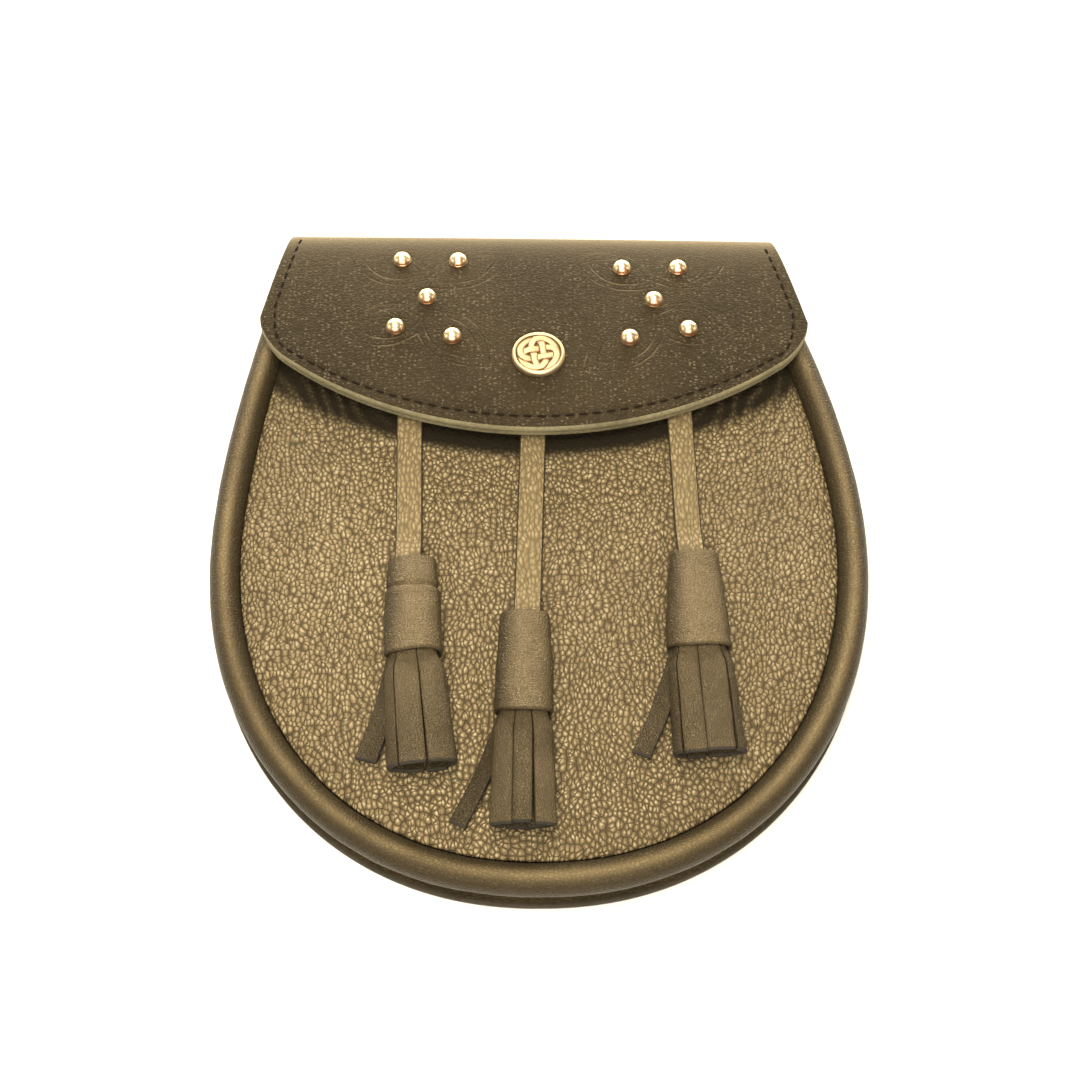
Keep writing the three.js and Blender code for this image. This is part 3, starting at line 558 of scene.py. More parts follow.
def slab(name, surface, finish, wall, half, columns, outer_rows, inner_rows, press_and_shade=None,
         edge_finish=None, across=None, ends=True, marks=None, eased=None, sides_cut=True):
    """A piece of leather of this wall, with rounded cut edges. surface(across, along) gives
    points on its outer face, the normals there and the direction along; press(across, along)
    how deep the face is pressed in."""
    across, left = across or slab_columns(columns, min((eased or wall / 2) / half, 0.45))
    along, turn = slab_rows(outer_rows, inner_rows)

    def place(column, row):
        points, normals, ahead = surface(across[column], along[row])
        depth = wall / 2 * (1 - np.sin(turn[row]) * left[column])
        reach = wall / 2 * np.cos(turn[row]) * np.where(np.abs(turn[row]) <= math.pi / 2, 1, -1)
        reach = np.where(along[row] > 0.5, 1, -1) * np.abs(reach) * left[column] * ends
        if press_and_shade is not None:
            depth = depth + pressed(column, row) * left[column]
        return points - normals * depth[:, None] + ahead * reach[:, None]

    def pressed(column, row):
        return press_and_shade(across[column], along[row]) * (np.sin(turn[row]) > 0.99)

    def on_face(mark):
        return lambda column, row: mark(across[column], along[row])

    named = {mark: on_face(value_at) for mark, value_at in (marks or {}).items()}
    # The pressed depth is written out as a mark too, which darkens the finish there as painted shade.
    if press_and_shade is not None:
        named["press_and_shade"] = pressed

    last = len(across) - 1

    def is_cut(column, row):
        side = sides_cut & ((column < EDGE_ARC) | (column >= last - EDGE_ARC))
        end = (row >= outer_rows) & (row < outer_rows + EDGE_ARC)
        start = row >= outer_rows + EDGE_ARC + inner_rows
        return side | end | start

    return skin(name, last, len(along) - 1, place, finish, named,
                cut=is_cut if edge_finish else None, cut_finish=edge_finish)


# Rim and the panels

RIM_COUNT = 900  # points along the rim, and along the straight top of a panel
TOP_COUNT = 60


def rim_points():
    """Outermost line of the pouch, evenly spaced from the left of the mouth round the
    bottom to its right, with its inward direction."""
    rise = np.linspace(MOUTH_RISE, 0, 200)[:-1]
    side_x = MOUTH_NARROWING * (rise / MOUTH_RISE) ** NARROWING_POWER - HALF_WIDTH
    angle = np.linspace(0, math.pi / 2, 400)
    bowl_x = -HALF_WIDTH * np.maximum(np.cos(angle), 0) ** (2 / BOWL_FULLNESS)
    bowl_y = WIDEST_Y - BOWL_DEPTH * np.sin(angle) ** (2 / BOWL_FULLNESS)
    x = np.concatenate([side_x, bowl_x])
    y = np.concatenate([WIDEST_Y + rise, bowl_y])
    x, y = np.concatenate([x, -x[-2::-1]]), np.concatenate([y, y[-2::-1]])
    line = stacked(x + MOUTH_LEAN * (np.maximum(y - WIDEST_Y, 0) / MOUTH_RISE) ** 2, y)
    run = run_along(line)
    line = picked(line, run, np.linspace(0, run[-1], RIM_COUNT))
    step = unit(np.gradient(line, axis=0))
    return line, stacked(-step[:, 1], step[:, 0]), run[-1]


RIM, RIM_INWARD, RIM_LENGTH = rim_points()


def rim_at(share, inset):
    """Points and inward directions at shares along the rim."""
    at = share * (len(RIM) - 1)
    index = np.arange(len(RIM))
    inward = unit(picked(RIM_INWARD, index, at))
    return picked(RIM, index, at) + inward * np.reshape(inset, (-1, 1)), inward


def closed_outline(inset, top_y, top_half, count):
    """The rim closed by a straight edge across the top, evenly spaced all round."""
    line = rim_at(np.linspace(0, 1, RIM_COUNT), inset)[0]
    line = line[line[:, 1] < top_y - 0.5]
    top = np.linspace(1, -1, TOP_COUNT)
    loop = np.concatenate([line, stacked(MOUTH_LEAN + top_half * top, top_y), line[:1]])
    run = run_along(loop)
    return picked(loop, run, np.linspace(0, run[-1], count + 1))


class Outline:
    """Reach of a closed outline from the middle of the pouch, by direction."""

    def __init__(self, inset, top_y, top_half):
        line = closed_outline(inset, top_y, top_half, 1400)[:-1]
        angle = np.arctan2(line[:, 1] - WIDEST_Y, line[:, 0])
        order = np.argsort(angle)
        self.angle = angle[order]
        self.reach = np.hypot(line[:, 0], line[:, 1] - WIDEST_Y)[order]

    def share(self, x, y):
        angle = np.arctan2(y - WIDEST_Y, x)
        return np.hypot(x, y - WIDEST_Y) / np.interp(angle, self.angle, self.reach, period=2 * math.pi)


PANEL_MOUTH_HALF = HALF_WIDTH - MOUTH_NARROWING - PANEL_INSET
PANEL_OUTLINE = Outline(PANEL_INSET, MOUTH_Y, PANEL_MOUTH_HALF)
HOLLOW_OUTLINE = Outline(BACK_RIM_BAND, HOLLOW_TOP, BACK_TOP_HALF)


def panel_height(x, y, share):
    edge_x = x / np.maximum(share, 1e-4)
    edge_y = WIDEST_Y + (y - WIDEST_Y) / np.maximum(share, 1e-4)
    lift = MOUTH_LIFT * np.maximum(1 - ((edge_x - MOUTH_LEAN) / PANEL_MOUTH_HALF) ** 2, 0)
    low = PANEL_EDGE + np.where(edge_y > MOUTH_Y - 0.05, lift, 0)
    crown = np.sqrt(np.maximum(1 - np.minimum(share, 1) ** CROWN_POWER, 0))
    return low + (PANEL_TOP - low) * crown


def panel_at(x, y):
    x, y = np.atleast_1d(x).astype(float), np.atleast_1d(y).astype(float)
    return panel_height(x, y, PANEL_OUTLINE.share(x, y))


def gentle_waves(x, y, amount, length, seed):
    """Slow unevenness of soft leather, always the same."""
    values = [noise.noise(Vector((a / length, b / length, seed))) for a, b in zip(x.tolist(), y.tolist())]
    return amount * np.array(values)


def gathers(x, y, share):
    """Folds drawn in toward the seam, at the panel's upper corners under the flap."""
    corner = smoothstep(y - WIDEST_Y, 26, 50) * smoothstep(np.abs(x - MOUTH_LEAN), 26, 58)
    wander = gentle_waves(x, y, 3.0, 16.0, 6.0)
    folds = np.sin((np.abs(x) * 0.92 - y * 0.38 + wander) * 2 * math.pi / GATHER_SPACING)
    return GATHER_DEPTH * corner * folds * np.sqrt(np.clip(1 - share ** 6, 0, 1))


def drawn_in(outline, share):
    """Across and up of places this share of the way from the middle to an outline."""
    return outline[:, 0] * share, WIDEST_Y + (outline[:, 1] - WIDEST_Y) * share


def make_front_panel():
    around = 420
    outline = closed_outline(PANEL_INSET - 0.3, MOUTH_Y, PANEL_MOUTH_HALF, around)
    outline[-1] = outline[0]
    outer_rows, inner_rows = 110, 34
    rise = np.linspace(0, 90, outer_rows + 1)
    inner = np.linspace(90, 0, inner_rows + 1)
    angle = np.radians(np.concatenate([rise, inner]))
    face = np.concatenate([np.zeros(outer_rows + 1), np.ones(inner_rows + 1)])

    def spot(column, row):
        share = np.sin(angle[row]) ** (2 / CROWN_POWER)
        return *drawn_in(outline[column], share), share

    def place(column, row):
        x, y, share = spot(column, row)
        sag = gentle_waves(x, y, 0.35, 22.0, 4.0) * (1 - share ** 4) + gathers(x, y, share)
        return stacked(x, y, panel_height(x, y, share) + sag - PANEL_WALL * face[row])

    def shade(column, row):
        """Shadow under the flap's hem, and the light that the gathers catch there."""
        x, y, share = spot(column, row)
        across = np.clip((x - FLAP_SHIFT) / FLAP_CORNER_HALF, -0.999, 0.999)
        below_hem = hem_at(across * FLAP_CORNER_HALF) + x * math.sin(FLAP_TURN) - y
        shadow = 1 - smoothstep(below_hem, 2.5 + 2.0 * across ** 2, 7.0 + 6.5 * across ** 2)
        return np.clip(shadow - gathers(x, y, share) * 0.55, 0, 1)

    piece = skin("front_panel_leather", around, len(angle) - 1, place, FRONT_LEATHER,
                 {"shade": shade})
    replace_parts(piece, "front_panel")


def make_back_panel():
    around = 400
    outline = closed_outline(0.0, FOLD_Y - BACK_TOP_INSET, BACK_TOP_HALF, around)
    outline[-1] = outline[0]
    inside = np.linspace(0, 1, 60) ** 0.8
    edge = np.array([0.996, 0.9995, 1.0, 0.9995, 0.996])
    edge_rise = np.array([1.0, 0.85, 0.5, 0.15, 0.0])
    share_of = np.concatenate([inside * 0.99, edge, inside[::-1] * 0.99])
    rise_of = np.concatenate([np.ones(60), edge_rise, np.zeros(60)])

    def place(column, row):
        x, y = drawn_in(outline[column], share_of[row])
        low = BACK_HOLLOW * (1 - smoothstep(HOLLOW_OUTLINE.share(x, y), 0.72, 0.98))
        return stacked(x, y, low + BACK_WALL * rise_of[row])

    def press_and_shade(column, row):
        """Darker line along the edge, where the seam runs."""
        from_edge = (1 - share_of[row]) * 95
        return np.exp(-((from_edge - 4.2) / 0.7) ** 2) * 0.6

    def is_cut(column, row):
        return (row >= 59) & (row <= 64)

    piece = skin("back_panel_leather", around, len(share_of) - 1, place, BACK_LEATHER,
                 {"press_and_shade": press_and_shade}, is_cut, DARK_EDGE)
    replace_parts(piece, "back_panel")


def make_gusset():
    """Narrow wall between the back and the welt, slightly puckered by its seams."""
    low, high = BACK_WALL + SEAM_GAP, WELT_HEIGHT - WELT_RADIUS - SEAM_GAP

    def surface(across, along):
        pucker = np.sin(along * RIM_LENGTH / PUCKER_LENGTH * 2 * math.pi)
        bulge = (GUSSET_BULGE + PUCKER_DEPTH * pucker) * (1 - across ** 2)
        point, inward = rim_at(along, WELT_RADIUS - GUSSET_INSET - bulge)
        height = (low + high) / 2 + across * (high - low) / 2
        return (stacked(*point.T, height), stacked(*-inward.T, 0.0), stacked(inward[:, 1], -inward[:, 0], 0.0))

    piece = slab("gusset_leather", surface, WELT_LEATHER, wall=GUSSET_WALL, half=(high - low) / 2,
                 columns=6, outer_rows=420, inner_rows=160, ends=False)
    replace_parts(piece, "gusset")


def make_welt():
    """Round cord in smooth leather with shallow wrinkles, rounded off at both ends."""
    around, lengths, cap = 28, 760, 6
    share_of = np.concatenate([np.zeros(cap), np.linspace(0, 1, lengths), np.ones(cap)])
    round_end = np.sin(np.radians(90 * np.arange(cap) / cap))
    radius_of = np.concatenate([round_end, np.ones(lengths), round_end[::-1]])

    def turn_of(column):
        return 2 * math.pi * (column % around) / around

    def place(column, row):
        share, turn = share_of[row], turn_of(column)
        squeeze = gentle_waves(share * RIM_LENGTH, 2.0 * turn, 0.16, 9.0, 7.0)
        broad = gentle_waves(share * RIM_LENGTH, turn, 0.12, 34.0, 9.0)
        radius = (WELT_RADIUS - 0.1 + squeeze * 0.6 + broad) * radius_of[row]
        centre, inward = rim_at(share, WELT_RADIUS)
        spot = centre - inward * (radius * np.cos(turn))[:, None]
        return stacked(*spot.T, WELT_HEIGHT + radius * np.sin(turn))

    def flank_shade(column, row):
        """Painted shade down the sides, away from the top where the light falls."""
        from_top = np.degrees(np.abs(turn_of(column) - math.pi / 2))
        return 0.98 * (1 - np.exp(-(np.minimum(from_top, 360 - from_top) / 19) ** 2))

    piece = skin("front_welt_leather", around, len(share_of) - 1, place, WELT_LEATHER,
                 {"press_and_shade": flank_shade})
    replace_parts(piece, "front_welt")


# Flap

def turned_direction(directions):
    cosine, sine = math.cos(FLAP_TURN), math.sin(FLAP_TURN)
    x, y, z = directions.T
    return stacked(x * cosine - y * sine, x * sine + y * cosine, z)


def turned(points):
    """From the flap's own place to where it lies, a little askew."""
    return turned_direction(points) + np.array([FLAP_SHIFT, 0.0, 0.0])


def hem_at(across):
    arc = FLAP_HEM_RADIUS - np.sqrt(FLAP_HEM_RADIUS ** 2 - across ** 2)
    past = np.maximum(np.abs(across) - (FLAP_CORNER_HALF - FLAP_CORNER_RADIUS), 0) / FLAP_CORNER_RADIUS
    return HEM_Y + arc + FLAP_CORNER_RADIUS * (1 - np.sqrt(np.maximum(1 - past * past, 0)))


CORNER_Y = float(hem_at(np.array([FLAP_CORNER_HALF]))[0])


def toward_fold(y):
    """How far up the flap's sides a place is, from its corners to the fold."""
    return np.clip((y - CORNER_Y) / (FOLD_Y - CORNER_Y), 0, 1)


def flap_across(share, y):
    up = toward_fold(y)
    return share * (FLAP_CORNER_HALF + (FLAP_FOLD_HALF - FLAP_CORNER_HALF) * up) + FOLD_SHIFT * up


def flap_face(x, y):
    """Outer face of the flap and its normal, before its turn."""
    share = np.clip((y - HEM_Y) / FLAP_RUN, 0, 1)
    drop = FLAP_SIDE_DROP * np.abs(x / FLAP_CORNER_HALF) ** FLAP_SIDE_POWER
    rise = FLAP_HEIGHT - FOLD_HEIGHT - drop
    fall = np.sqrt(np.maximum(1 - share ** FLAP_CURVE, 0))
    tilt = FLAP_SIDE_POWER * drop / np.maximum(np.abs(x), 1)
    slope = rise / FLAP_RUN * (FLAP_CURVE / 2) * share ** (FLAP_CURVE - 1)
    return stacked(x, y, FOLD_HEIGHT + rise * fall), unit(stacked(np.sign(x) * tilt * fall * fall, slope, fall))


# Shares of the flap's length that lie before the fold, and before its flat tail
FRONT_SHARE = 0.86
RETURN_SHARE = 0.96


def flap_front(across, along, inset):
    """Place on the front of the flap, this far in from its edge."""
    hem = hem_at(across * FLAP_CORNER_HALF) + inset
    start = np.arcsin(np.clip((hem - HEM_Y) / FLAP_RUN, 0, 1) ** (FLAP_CURVE / 2))
    turn = start + (math.pi / 2 - start) * np.clip(along / FRONT_SHARE, 0, 1)
    y = HEM_Y + FLAP_RUN * np.sin(turn) ** (2 / FLAP_CURVE)
    return flap_across(across * (1 - inset / FLAP_CORNER_HALF), y), y


def flap_surface(inset, tail):
    """Front of the flap from its hem, over the fold and under it to the tail."""
    def surface(across, along):
        points, normals = flap_face(*flap_front(across, along, inset))
        past = np.clip((along - FRONT_SHARE) / (RETURN_SHARE - FRONT_SHARE), 0, 1)
        sweep = past * math.pi / 2
        drop = FOLD_HEIGHT - TAIL_HEIGHT
        flat = np.clip((along - RETURN_SHARE) / (1 - RETURN_SHARE), 0, 1) * tail
        under_x = flap_across(across * (1 - inset / FLAP_CORNER_HALF), np.full(len(across), FOLD_Y))
        under_x = under_x + across * (FLAP_TAIL_HALF - FLAP_FOLD_HALF) * past
        under_y = FOLD_Y - FOLD_RETURN * (1 - np.cos(sweep)) - flat
        under = stacked(under_x, under_y, FOLD_HEIGHT - drop * np.sin(sweep))
        under_normal = unit(stacked(0.0, np.cos(sweep) / FOLD_RETURN, -np.sin(sweep) / drop))
        is_under = (along > FRONT_SHARE)[:, None]
        points = np.where(is_under, under, points)
        normals = np.where(is_under, under_normal, normals)
        ahead = stacked(0.0, np.where(along > 0.5, -1.0, 1.0), 0.0)
        ahead = unit(ahead - normals * np.sum(ahead * normals, axis=1, keepdims=True))
        return turned(points), turned_direction(normals), turned_direction(ahead)
    return surface


def leaf_outlines(inner):
    """Closed outlines of the pressed leaves, or of the smaller lines inside them."""
    outlines = []
    share = np.linspace(0, 1, 40)[:, None]
    for tip, root, half in LEAVES:
        tip, root = np.array(tip), np.array(root)
        toward = (root - tip) / np.linalg.norm(root - tip)
        side = np.array([-toward[1], toward[0]])
        start, end, bulge = tip, root, half
        if inner:
            start, end, bulge = tip + toward * 5.0, root - toward * 4.0, half - LEAF_INNER_LINE
        bow = side * (bulge * 4 * share * (1 - share))
        there = start + (end - start) * share + bow
        back = end + (start - end) * share - bow
        outlines.append(np.concatenate([there[:-1], back[:-1]]) + np.array([0, HEM_Y]))
    return outlines


def distance_to_outlines(x, y, outlines):
    """Distance from each place to the nearest outline, less than nothing inside it."""
    nearest = np.full(len(x), FAR_FROM_LINES)
    for outline in outlines:
        low, high = outline.min(axis=0) - FAR_FROM_LINES, outline.max(axis=0) + FAR_FROM_LINES
        near = np.nonzero((x > low[0]) & (x < high[0]) & (y > low[1]) & (y < high[1]))[0]
        place = np.stack([x[near], y[near]], axis=1)[:, None, :]
        start, end = outline, np.roll(outline, -1, axis=0)
        step = end - start
        along = np.clip(((place - start) * step).sum(-1) / (step * step).sum(-1), 0, 1)
        away = np.linalg.norm(place - start - step * along[..., None], axis=-1).min(axis=1)
        px, py = place[:, 0, 0][:, None], place[:, 0, 1][:, None]
        spans = (start[:, 1] > py) != (end[:, 1] > py)
        level = np.where(np.abs(step[:, 1]) < 1e-9, 1e-9, step[:, 1])
        crossing = px < start[:, 0] + step[:, 0] * (py - start[:, 1]) / level
        inside = (spans & crossing).sum(axis=1) % 2 == 1
        nearest[near] = np.minimum(nearest[near], np.where(inside, -away, away))
    return nearest


def stitch_line():
    """The seam near the flap's edge, from the left of the fold round the hem to its right,
    evenly spaced, in the flap's own coordinates."""
    side_y = np.linspace(FOLD_Y - 2.0, CORNER_Y + 3.5, 80)
    side_x = -(FLAP_CORNER_HALF - STITCH_INSET + (FLAP_FOLD_HALF - FLAP_CORNER_HALF) * toward_fold(side_y))
    hem_x = np.linspace(-(FLAP_CORNER_HALF - STITCH_INSET - STITCH_CORNER), 0, 200)
    hem_y = HEM_Y + STITCH_INSET + FLAP_HEM_RADIUS - np.sqrt(FLAP_HEM_RADIUS ** 2 - hem_x ** 2)
    turn = np.linspace(0, 1, 30)[1:-1, None]
    start = np.array([side_x[-1], side_y[-1]])
    knee = np.array([side_x[-1] + 0.2, hem_y[0] + 2.6])
    end = np.array([hem_x[0], hem_y[0]])
    bend = (1 - turn) ** 2 * start + 2 * ((1 - turn) * turn) * knee + turn ** 2 * end
    x, y = np.concatenate([stacked(side_x, side_y), bend, stacked(hem_x, hem_y)]).T
    lean = FOLD_SHIFT * toward_fold(y)
    line = np.concatenate([stacked(x + lean, y), stacked(lean - x, y)[-2::-1]])
    run = run_along(line)
    return picked(line, run, np.arange(0, run[-1], SEAM_STEP))


def line_tree(points):
    tree = kdtree.KDTree(len(points))
    for index, point in enumerate(points.tolist()):
        tree.insert((point[0], point[1], 0), index)
    tree.balance()
    return tree


def wide_columns(count, edge):
    """Places across the flap, closer together towards its sides, and how much of its
    thickness is left there. The edge is a share of the flap's half width."""
    even = np.arange(-count, count + 1) / count
    across = even * 1.125 - even ** 9 / 8
    into_edge = np.clip((np.abs(across) - (1 - edge)) / edge, 0, 1)
    return across, np.sqrt(np.clip(1 - into_edge ** 2, 0, 1))


def make_flap():
    seam = stitch_line()
    seam_tree = line_tree(seam)

    def flap_place(across, along):
        """Place on the flap before its turn, and whether it is on the front."""
        x, y = flap_front(across, along, FLAP_WALL / 2)
        return x, y, (along <= FRONT_SHARE) & (y < FOLD_Y - 1.5)

    def press_and_shade(across, along):
        """Depth of the seam's channel and of the dimples round the studs."""
        x, y, front = flap_place(across, along)
        stitch = np.array([seam_tree.find((a, b, 0))[2] for a, b in zip(x.tolist(), y.tolist())])
        depth = SEAM_CHANNEL * np.exp(-(stitch / 0.8) ** 2)
        for place_x, place_y in [*STUDS.values(), BUTTON]:
            radius = BUTTON_RADIUS if (place_x, place_y) == BUTTON else STUD_DOME
            away = np.hypot(x - place_x, y - HEM_Y - place_y)
            depth = depth + DIMPLE_DEPTH * np.exp(-((away - radius - 0.3) / 1.1) ** 2)
        return depth * front

    def to_lines(inner):
        outlines = leaf_outlines(inner)

        def distance(across, along):
            x, y, front = flap_place(across, along)
            return np.where(front, distance_to_outlines(x, y, outlines), FAR_FROM_LINES)
        return distance

    def fold_reflection(across, along):
        """Painted reflection along the fold: a paler colour for the light that the fold catches from behind."""
        y = flap_place(across, along)[1]
        return 0.95 * np.exp(-(FOLD_Y - y) / FOLD_REFLECTION_REACH)

    piece = slab("flap_outer_leather", flap_surface(FLAP_WALL / 2, FLAP_TAIL), FLAP_LEATHER,
                 wall=FLAP_WALL, half=FLAP_CORNER_HALF, columns=0, outer_rows=190, inner_rows=14, press_and_shade=press_and_shade,
                 edge_finish=EDGE_LEATHER, across=wide_columns(205, 1.05 / 85),
                 marks={"leaf": to_lines(False), "vein": to_lines(True), "fold_reflection": fold_reflection})
    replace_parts(piece, "flap_outer")

    lining_middle = flap_surface(1.0, 4.0)

    def lining_surface(across, along):
        points, normals, ahead = lining_middle(across, along)
        return points - normals * (FLAP_WALL + SEAM_GAP), normals, ahead

    lining = slab("flap_lining_leather", lining_surface, EDGE_LEATHER, wall=LINING_WALL,
                  half=FLAP_CORNER_HALF, columns=0, outer_rows=70, inner_rows=60, across=wide_columns(80, 0.75 / 85))
    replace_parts(lining, "flap_lining")
    make_stitches(seam)


def make_stitches(seam):
    """Dark thread round the flap: short stitches that dip into their holes."""
    mesh_maker = bmesh.new()
    last = len(seam) - 1
    lying = Matrix.Rotation(math.pi / 2, 4, "Y")
    for at in np.arange(2.0, last * SEAM_STEP - 2.0, STITCH_PITCH).tolist():
        index = int(round(at / SEAM_STEP))
        toward = unit(seam[min(index + 6, last)] - seam[max(index - 6, 0)])
        point, normal = flap_face(*seam[index][:, None])
        along = np.array([*toward, 0.0])
        along = unit(along - normal * np.dot(normal, along)[:, None])
        point, normal, along = turned(point)[0], turned_direction(normal)[0], turned_direction(along)[0]
        sides = (along * STITCH_LENGTH / 2, np.cross(normal, along) * STITCH_HALF_WIDTH, normal * STITCH_HALF_HEIGHT)
        basis = Matrix([(*(side * MM), 0) for side in sides] + [(0, 0, 0, 1)]).transposed()
        basis.translation = Vector(((point - normal * STITCH_SUNK) * MM).tolist())
        bmesh.ops.create_uvsphere(mesh_maker, u_segments=8, v_segments=6, radius=1.0, matrix=basis @ lying)
    bmesh.ops.recalc_face_normals(mesh_maker, faces=mesh_maker.faces)
    settle("flap_stitching", mesh_maker, [THREAD])


# Metal

def seat_on_flap(place):
    """Turn and place of a fitting that stands on the flap, its own height along Z."""
    point, normal = flap_face(np.array([place[0]]), np.array([HEM_Y + place[1]]))
    point = turned(point)[0]
    normal = Vector(turned_direction(normal)[0].tolist())
    matrix = normal.to_track_quat("Z", "Y").to_matrix().to_4x4()
    matrix.translation = Vector((point * MM).tolist())
    return matrix


def spun_profile(mesh_maker, profile, steps):
    """Closed body turned from a profile of radius and height, in millimetres."""
    verts = [mesh_maker.verts.new((radius * MM, 0, height * MM)) for radius, height in profile]
    edges = [mesh_maker.edges.new(pair) for pair in zip(verts, verts[1:])]
    bmesh.ops.spin(mesh_maker, geom=verts + edges, cent=(0, 0, 0), axis=(0, 0, 1), angle=2 * math.pi,
                   steps=steps, use_merge=True)
    bmesh.ops.remove_doubles(mesh_maker, verts=mesh_maker.verts, dist=1e-7)
    bmesh.ops.recalc_face_normals(mesh_maker, faces=mesh_maker.faces)


def make_stud(name, place):
    """Domed stud with a thin brim pressed into the leather."""
    profile = [(0, -0.1), (2.84, -0.1), (2.90, 0.08), (2.86, 0.24)]
    for step in range(13):
        angle = math.radians(90 * step / 12)
        profile.append((STUD_DOME * math.cos(angle), 0.30 + 2.42 * math.sin(angle)))
    profile[-1] = (0, 2.72)
    mesh_maker = bmesh.new()
    gold_darkening = mesh_maker.verts.layers.float.new("gold_darkening")
    leather_reflection = mesh_maker.verts.layers.float.new("leather_reflection")
    spun_profile(mesh_maker, profile, 40)
    seat = seat_on_flap(place)
    # The stud's foot is darker: dark patina and painted shade where it meets the leather.
    for vertex in mesh_maker.verts:
        vertex[gold_darkening] = 0.9 if vertex.co.z / MM < 0.2 else 0.0
    bmesh.ops.transform(mesh_maker, matrix=seat, verts=mesh_maker.verts)
    # Painted reflection of the brown leather on the stud's lower, front side.
    for vertex in mesh_maker.verts:
        out = (vertex.co - seat.translation) / MM / STUD_DOME
        vertex[leather_reflection] = float(smoothstep(-out.y + 0.2 * out.x, 0.38, 0.85)) * 0.8
    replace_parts(settle(f"stud_{name}_dome", mesh_maker, [GOLD]), f"stud_{name}")


def make_button():
    """Round button: a rounded rim round a sunk field that an interlaced band fills."""
    mesh_maker = bmesh.new()
    gold_darkening = mesh_maker.verts.layers.float.new("gold_darkening")
    profile = [(0, -0.1), (7.7, -0.1), (7.95, 0.15), (BUTTON_RADIUS, 0.7), (7.98, 1.3), (7.86, 1.72), (7.6, 1.95),
               (7.3, 2.02), (7.02, 2.0), (6.88, 1.9), (6.82, 1.6), (6.78, 1.35), (6.6, 1.28), (0, 1.28)]
    spun_profile(mesh_maker, profile, 72)
    # The sunk field is dark, as patina and painted shade; the rim and the rest are dimmed part way.
    for vertex in mesh_maker.verts:
        radius = math.hypot(vertex.co.x, vertex.co.y) / MM
        vertex[gold_darkening] = 1.0 if radius < 6.85 and vertex.co.z > 1.0 * MM else 0.48
    knot_band(mesh_maker, gold_darkening)
    bmesh.ops.transform(mesh_maker, matrix=seat_on_flap(BUTTON), verts=mesh_maker.verts)
    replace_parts(settle("concho_knot_button", mesh_maker, [GOLD]), "concho")


# One of the knot's four like parts: how far it has gone round, in degrees, and its reach
KNOT_TURN = [0, 21, 43, 66, 90, 109, 129, 146, 163, 186, 209, 232, 247, 259, 270]
KNOT_REACH = [4.40, 2.60, 1.70, 1.46, 1.68, 2.08, 2.92, 4.20, 5.24, 5.62, 5.68, 5.66, 5.50, 5.16, 4.40]
KNOT_CROSSINGS = [-18, 25, 115, 162, 252, 295]
KNOT_OVER = [-1, 1, -1, 1, -1, 1]


def knot_band(mesh_maker, gold_darkening):
    """Flat band that passes the middle, bends out along the rim and dives in again, three
    times round in all, over and under itself by turns at its eight crossings."""
    lengths, width = 640, 2.22
    whole_way = 3 * 360
    section = [(-1.0, 0.0), (-1.0, 0.44), (-0.88, 0.58), (-0.5, 0.63), (0, 0.64), (0.5, 0.63), (0.88, 0.58),
               (1.0, 0.44), (1.0, 0.0), (0, -0.03)]
    around = np.array(KNOT_TURN, float)
    reach = np.array(KNOT_REACH)
    fine = np.arange(-90, 360, 1.5)
    ring = np.interp(fine, np.concatenate([around - 270, around[1:], around[1:] + 270]),
                     np.concatenate([reach, reach[1:], reach[1:]]))
    ring = softened(ring, 13)

    def at(turn):
        part = turn % 270
        angle = math.radians(86 - turn)
        here = float(np.interp(part, fine, ring))
        return Vector((here * math.cos(angle), here * math.sin(angle), 0)), part

    grid = bmesh.ops.create_grid(mesh_maker, x_segments=lengths, y_segments=len(section), size=0.5)["verts"]
    for vertex in grid:
        turn = (vertex.co.x + 0.5) * whole_way
        side, height = section[int(round((vertex.co.y + 0.5) * len(section))) % len(section)]
        here, part = at(turn)
        ahead = (at(turn + 1.5)[0] - at(turn - 1.5)[0]).normalized()
        aside = Vector((-ahead.y, ahead.x, 0))
        weave = float(np.interp(part, KNOT_CROSSINGS, KNOT_OVER))
        vertex.co = (here + aside * (side * width / 2)) * MM
        vertex.co.z = (1.18 + height + 0.20 * math.sin(weave * math.pi / 2)) * MM
        # The band's sides are dark, as patina and painted shade; its top is dimmed part way.
        vertex[gold_darkening] = 1.0 if abs(side) > 0.85 else 0.56
    bmesh.ops.remove_doubles(mesh_maker, verts=grid, dist=1e-7)


def make_clasp():
    """Plain hidden disc behind the button, with its edge eased."""
    low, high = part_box("clasp")
    middle = (low + high) / 2
    radius, height = (high.x - low.x) / 2 / MM, (high.z - low.z) / MM
    mesh_maker = bmesh.new()
    mesh_maker.verts.layers.float.new("gold_darkening")
    spun_profile(mesh_maker, [(0, -height / 2), (radius - 0.25, -height / 2), (radius, -height / 2 + 0.25),
                              (radius, height / 2 - 0.25), (radius - 0.25, height / 2), (0, height / 2)], 48)
    bmesh.ops.translate(mesh_maker, vec=middle, verts=mesh_maker.verts)
    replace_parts(settle("clasp_disc", mesh_maker, [GOLD], smooth=False), "clasp")


# Tassels

def tassel_axis(tassel):
    """Middles of the wrap's top and end and of the fringe's tip, lying on the front panel."""
    places = []
    for part, depth in (("top", WRAP_TOP_DEPTH), ("end", WRAP_END_DEPTH), ("tip", FRINGE_DEPTH)):
        x, y = tassel[part][0], WIDEST_Y + tassel[part][1]
        places.append(np.array([x, y, float(panel_at(x, y)[0]) + SEAM_GAP + depth / 2]))
    return places


def across_frame(direction):
    """Directions to the right and up, square to this one."""
    right = unit(np.cross(np.array([0, 0, 1.0]), direction))
    if right[0] < 0:
        right = -right
    up = np.cross(right, direction)
    return right, up if up[2] > 0 else -up


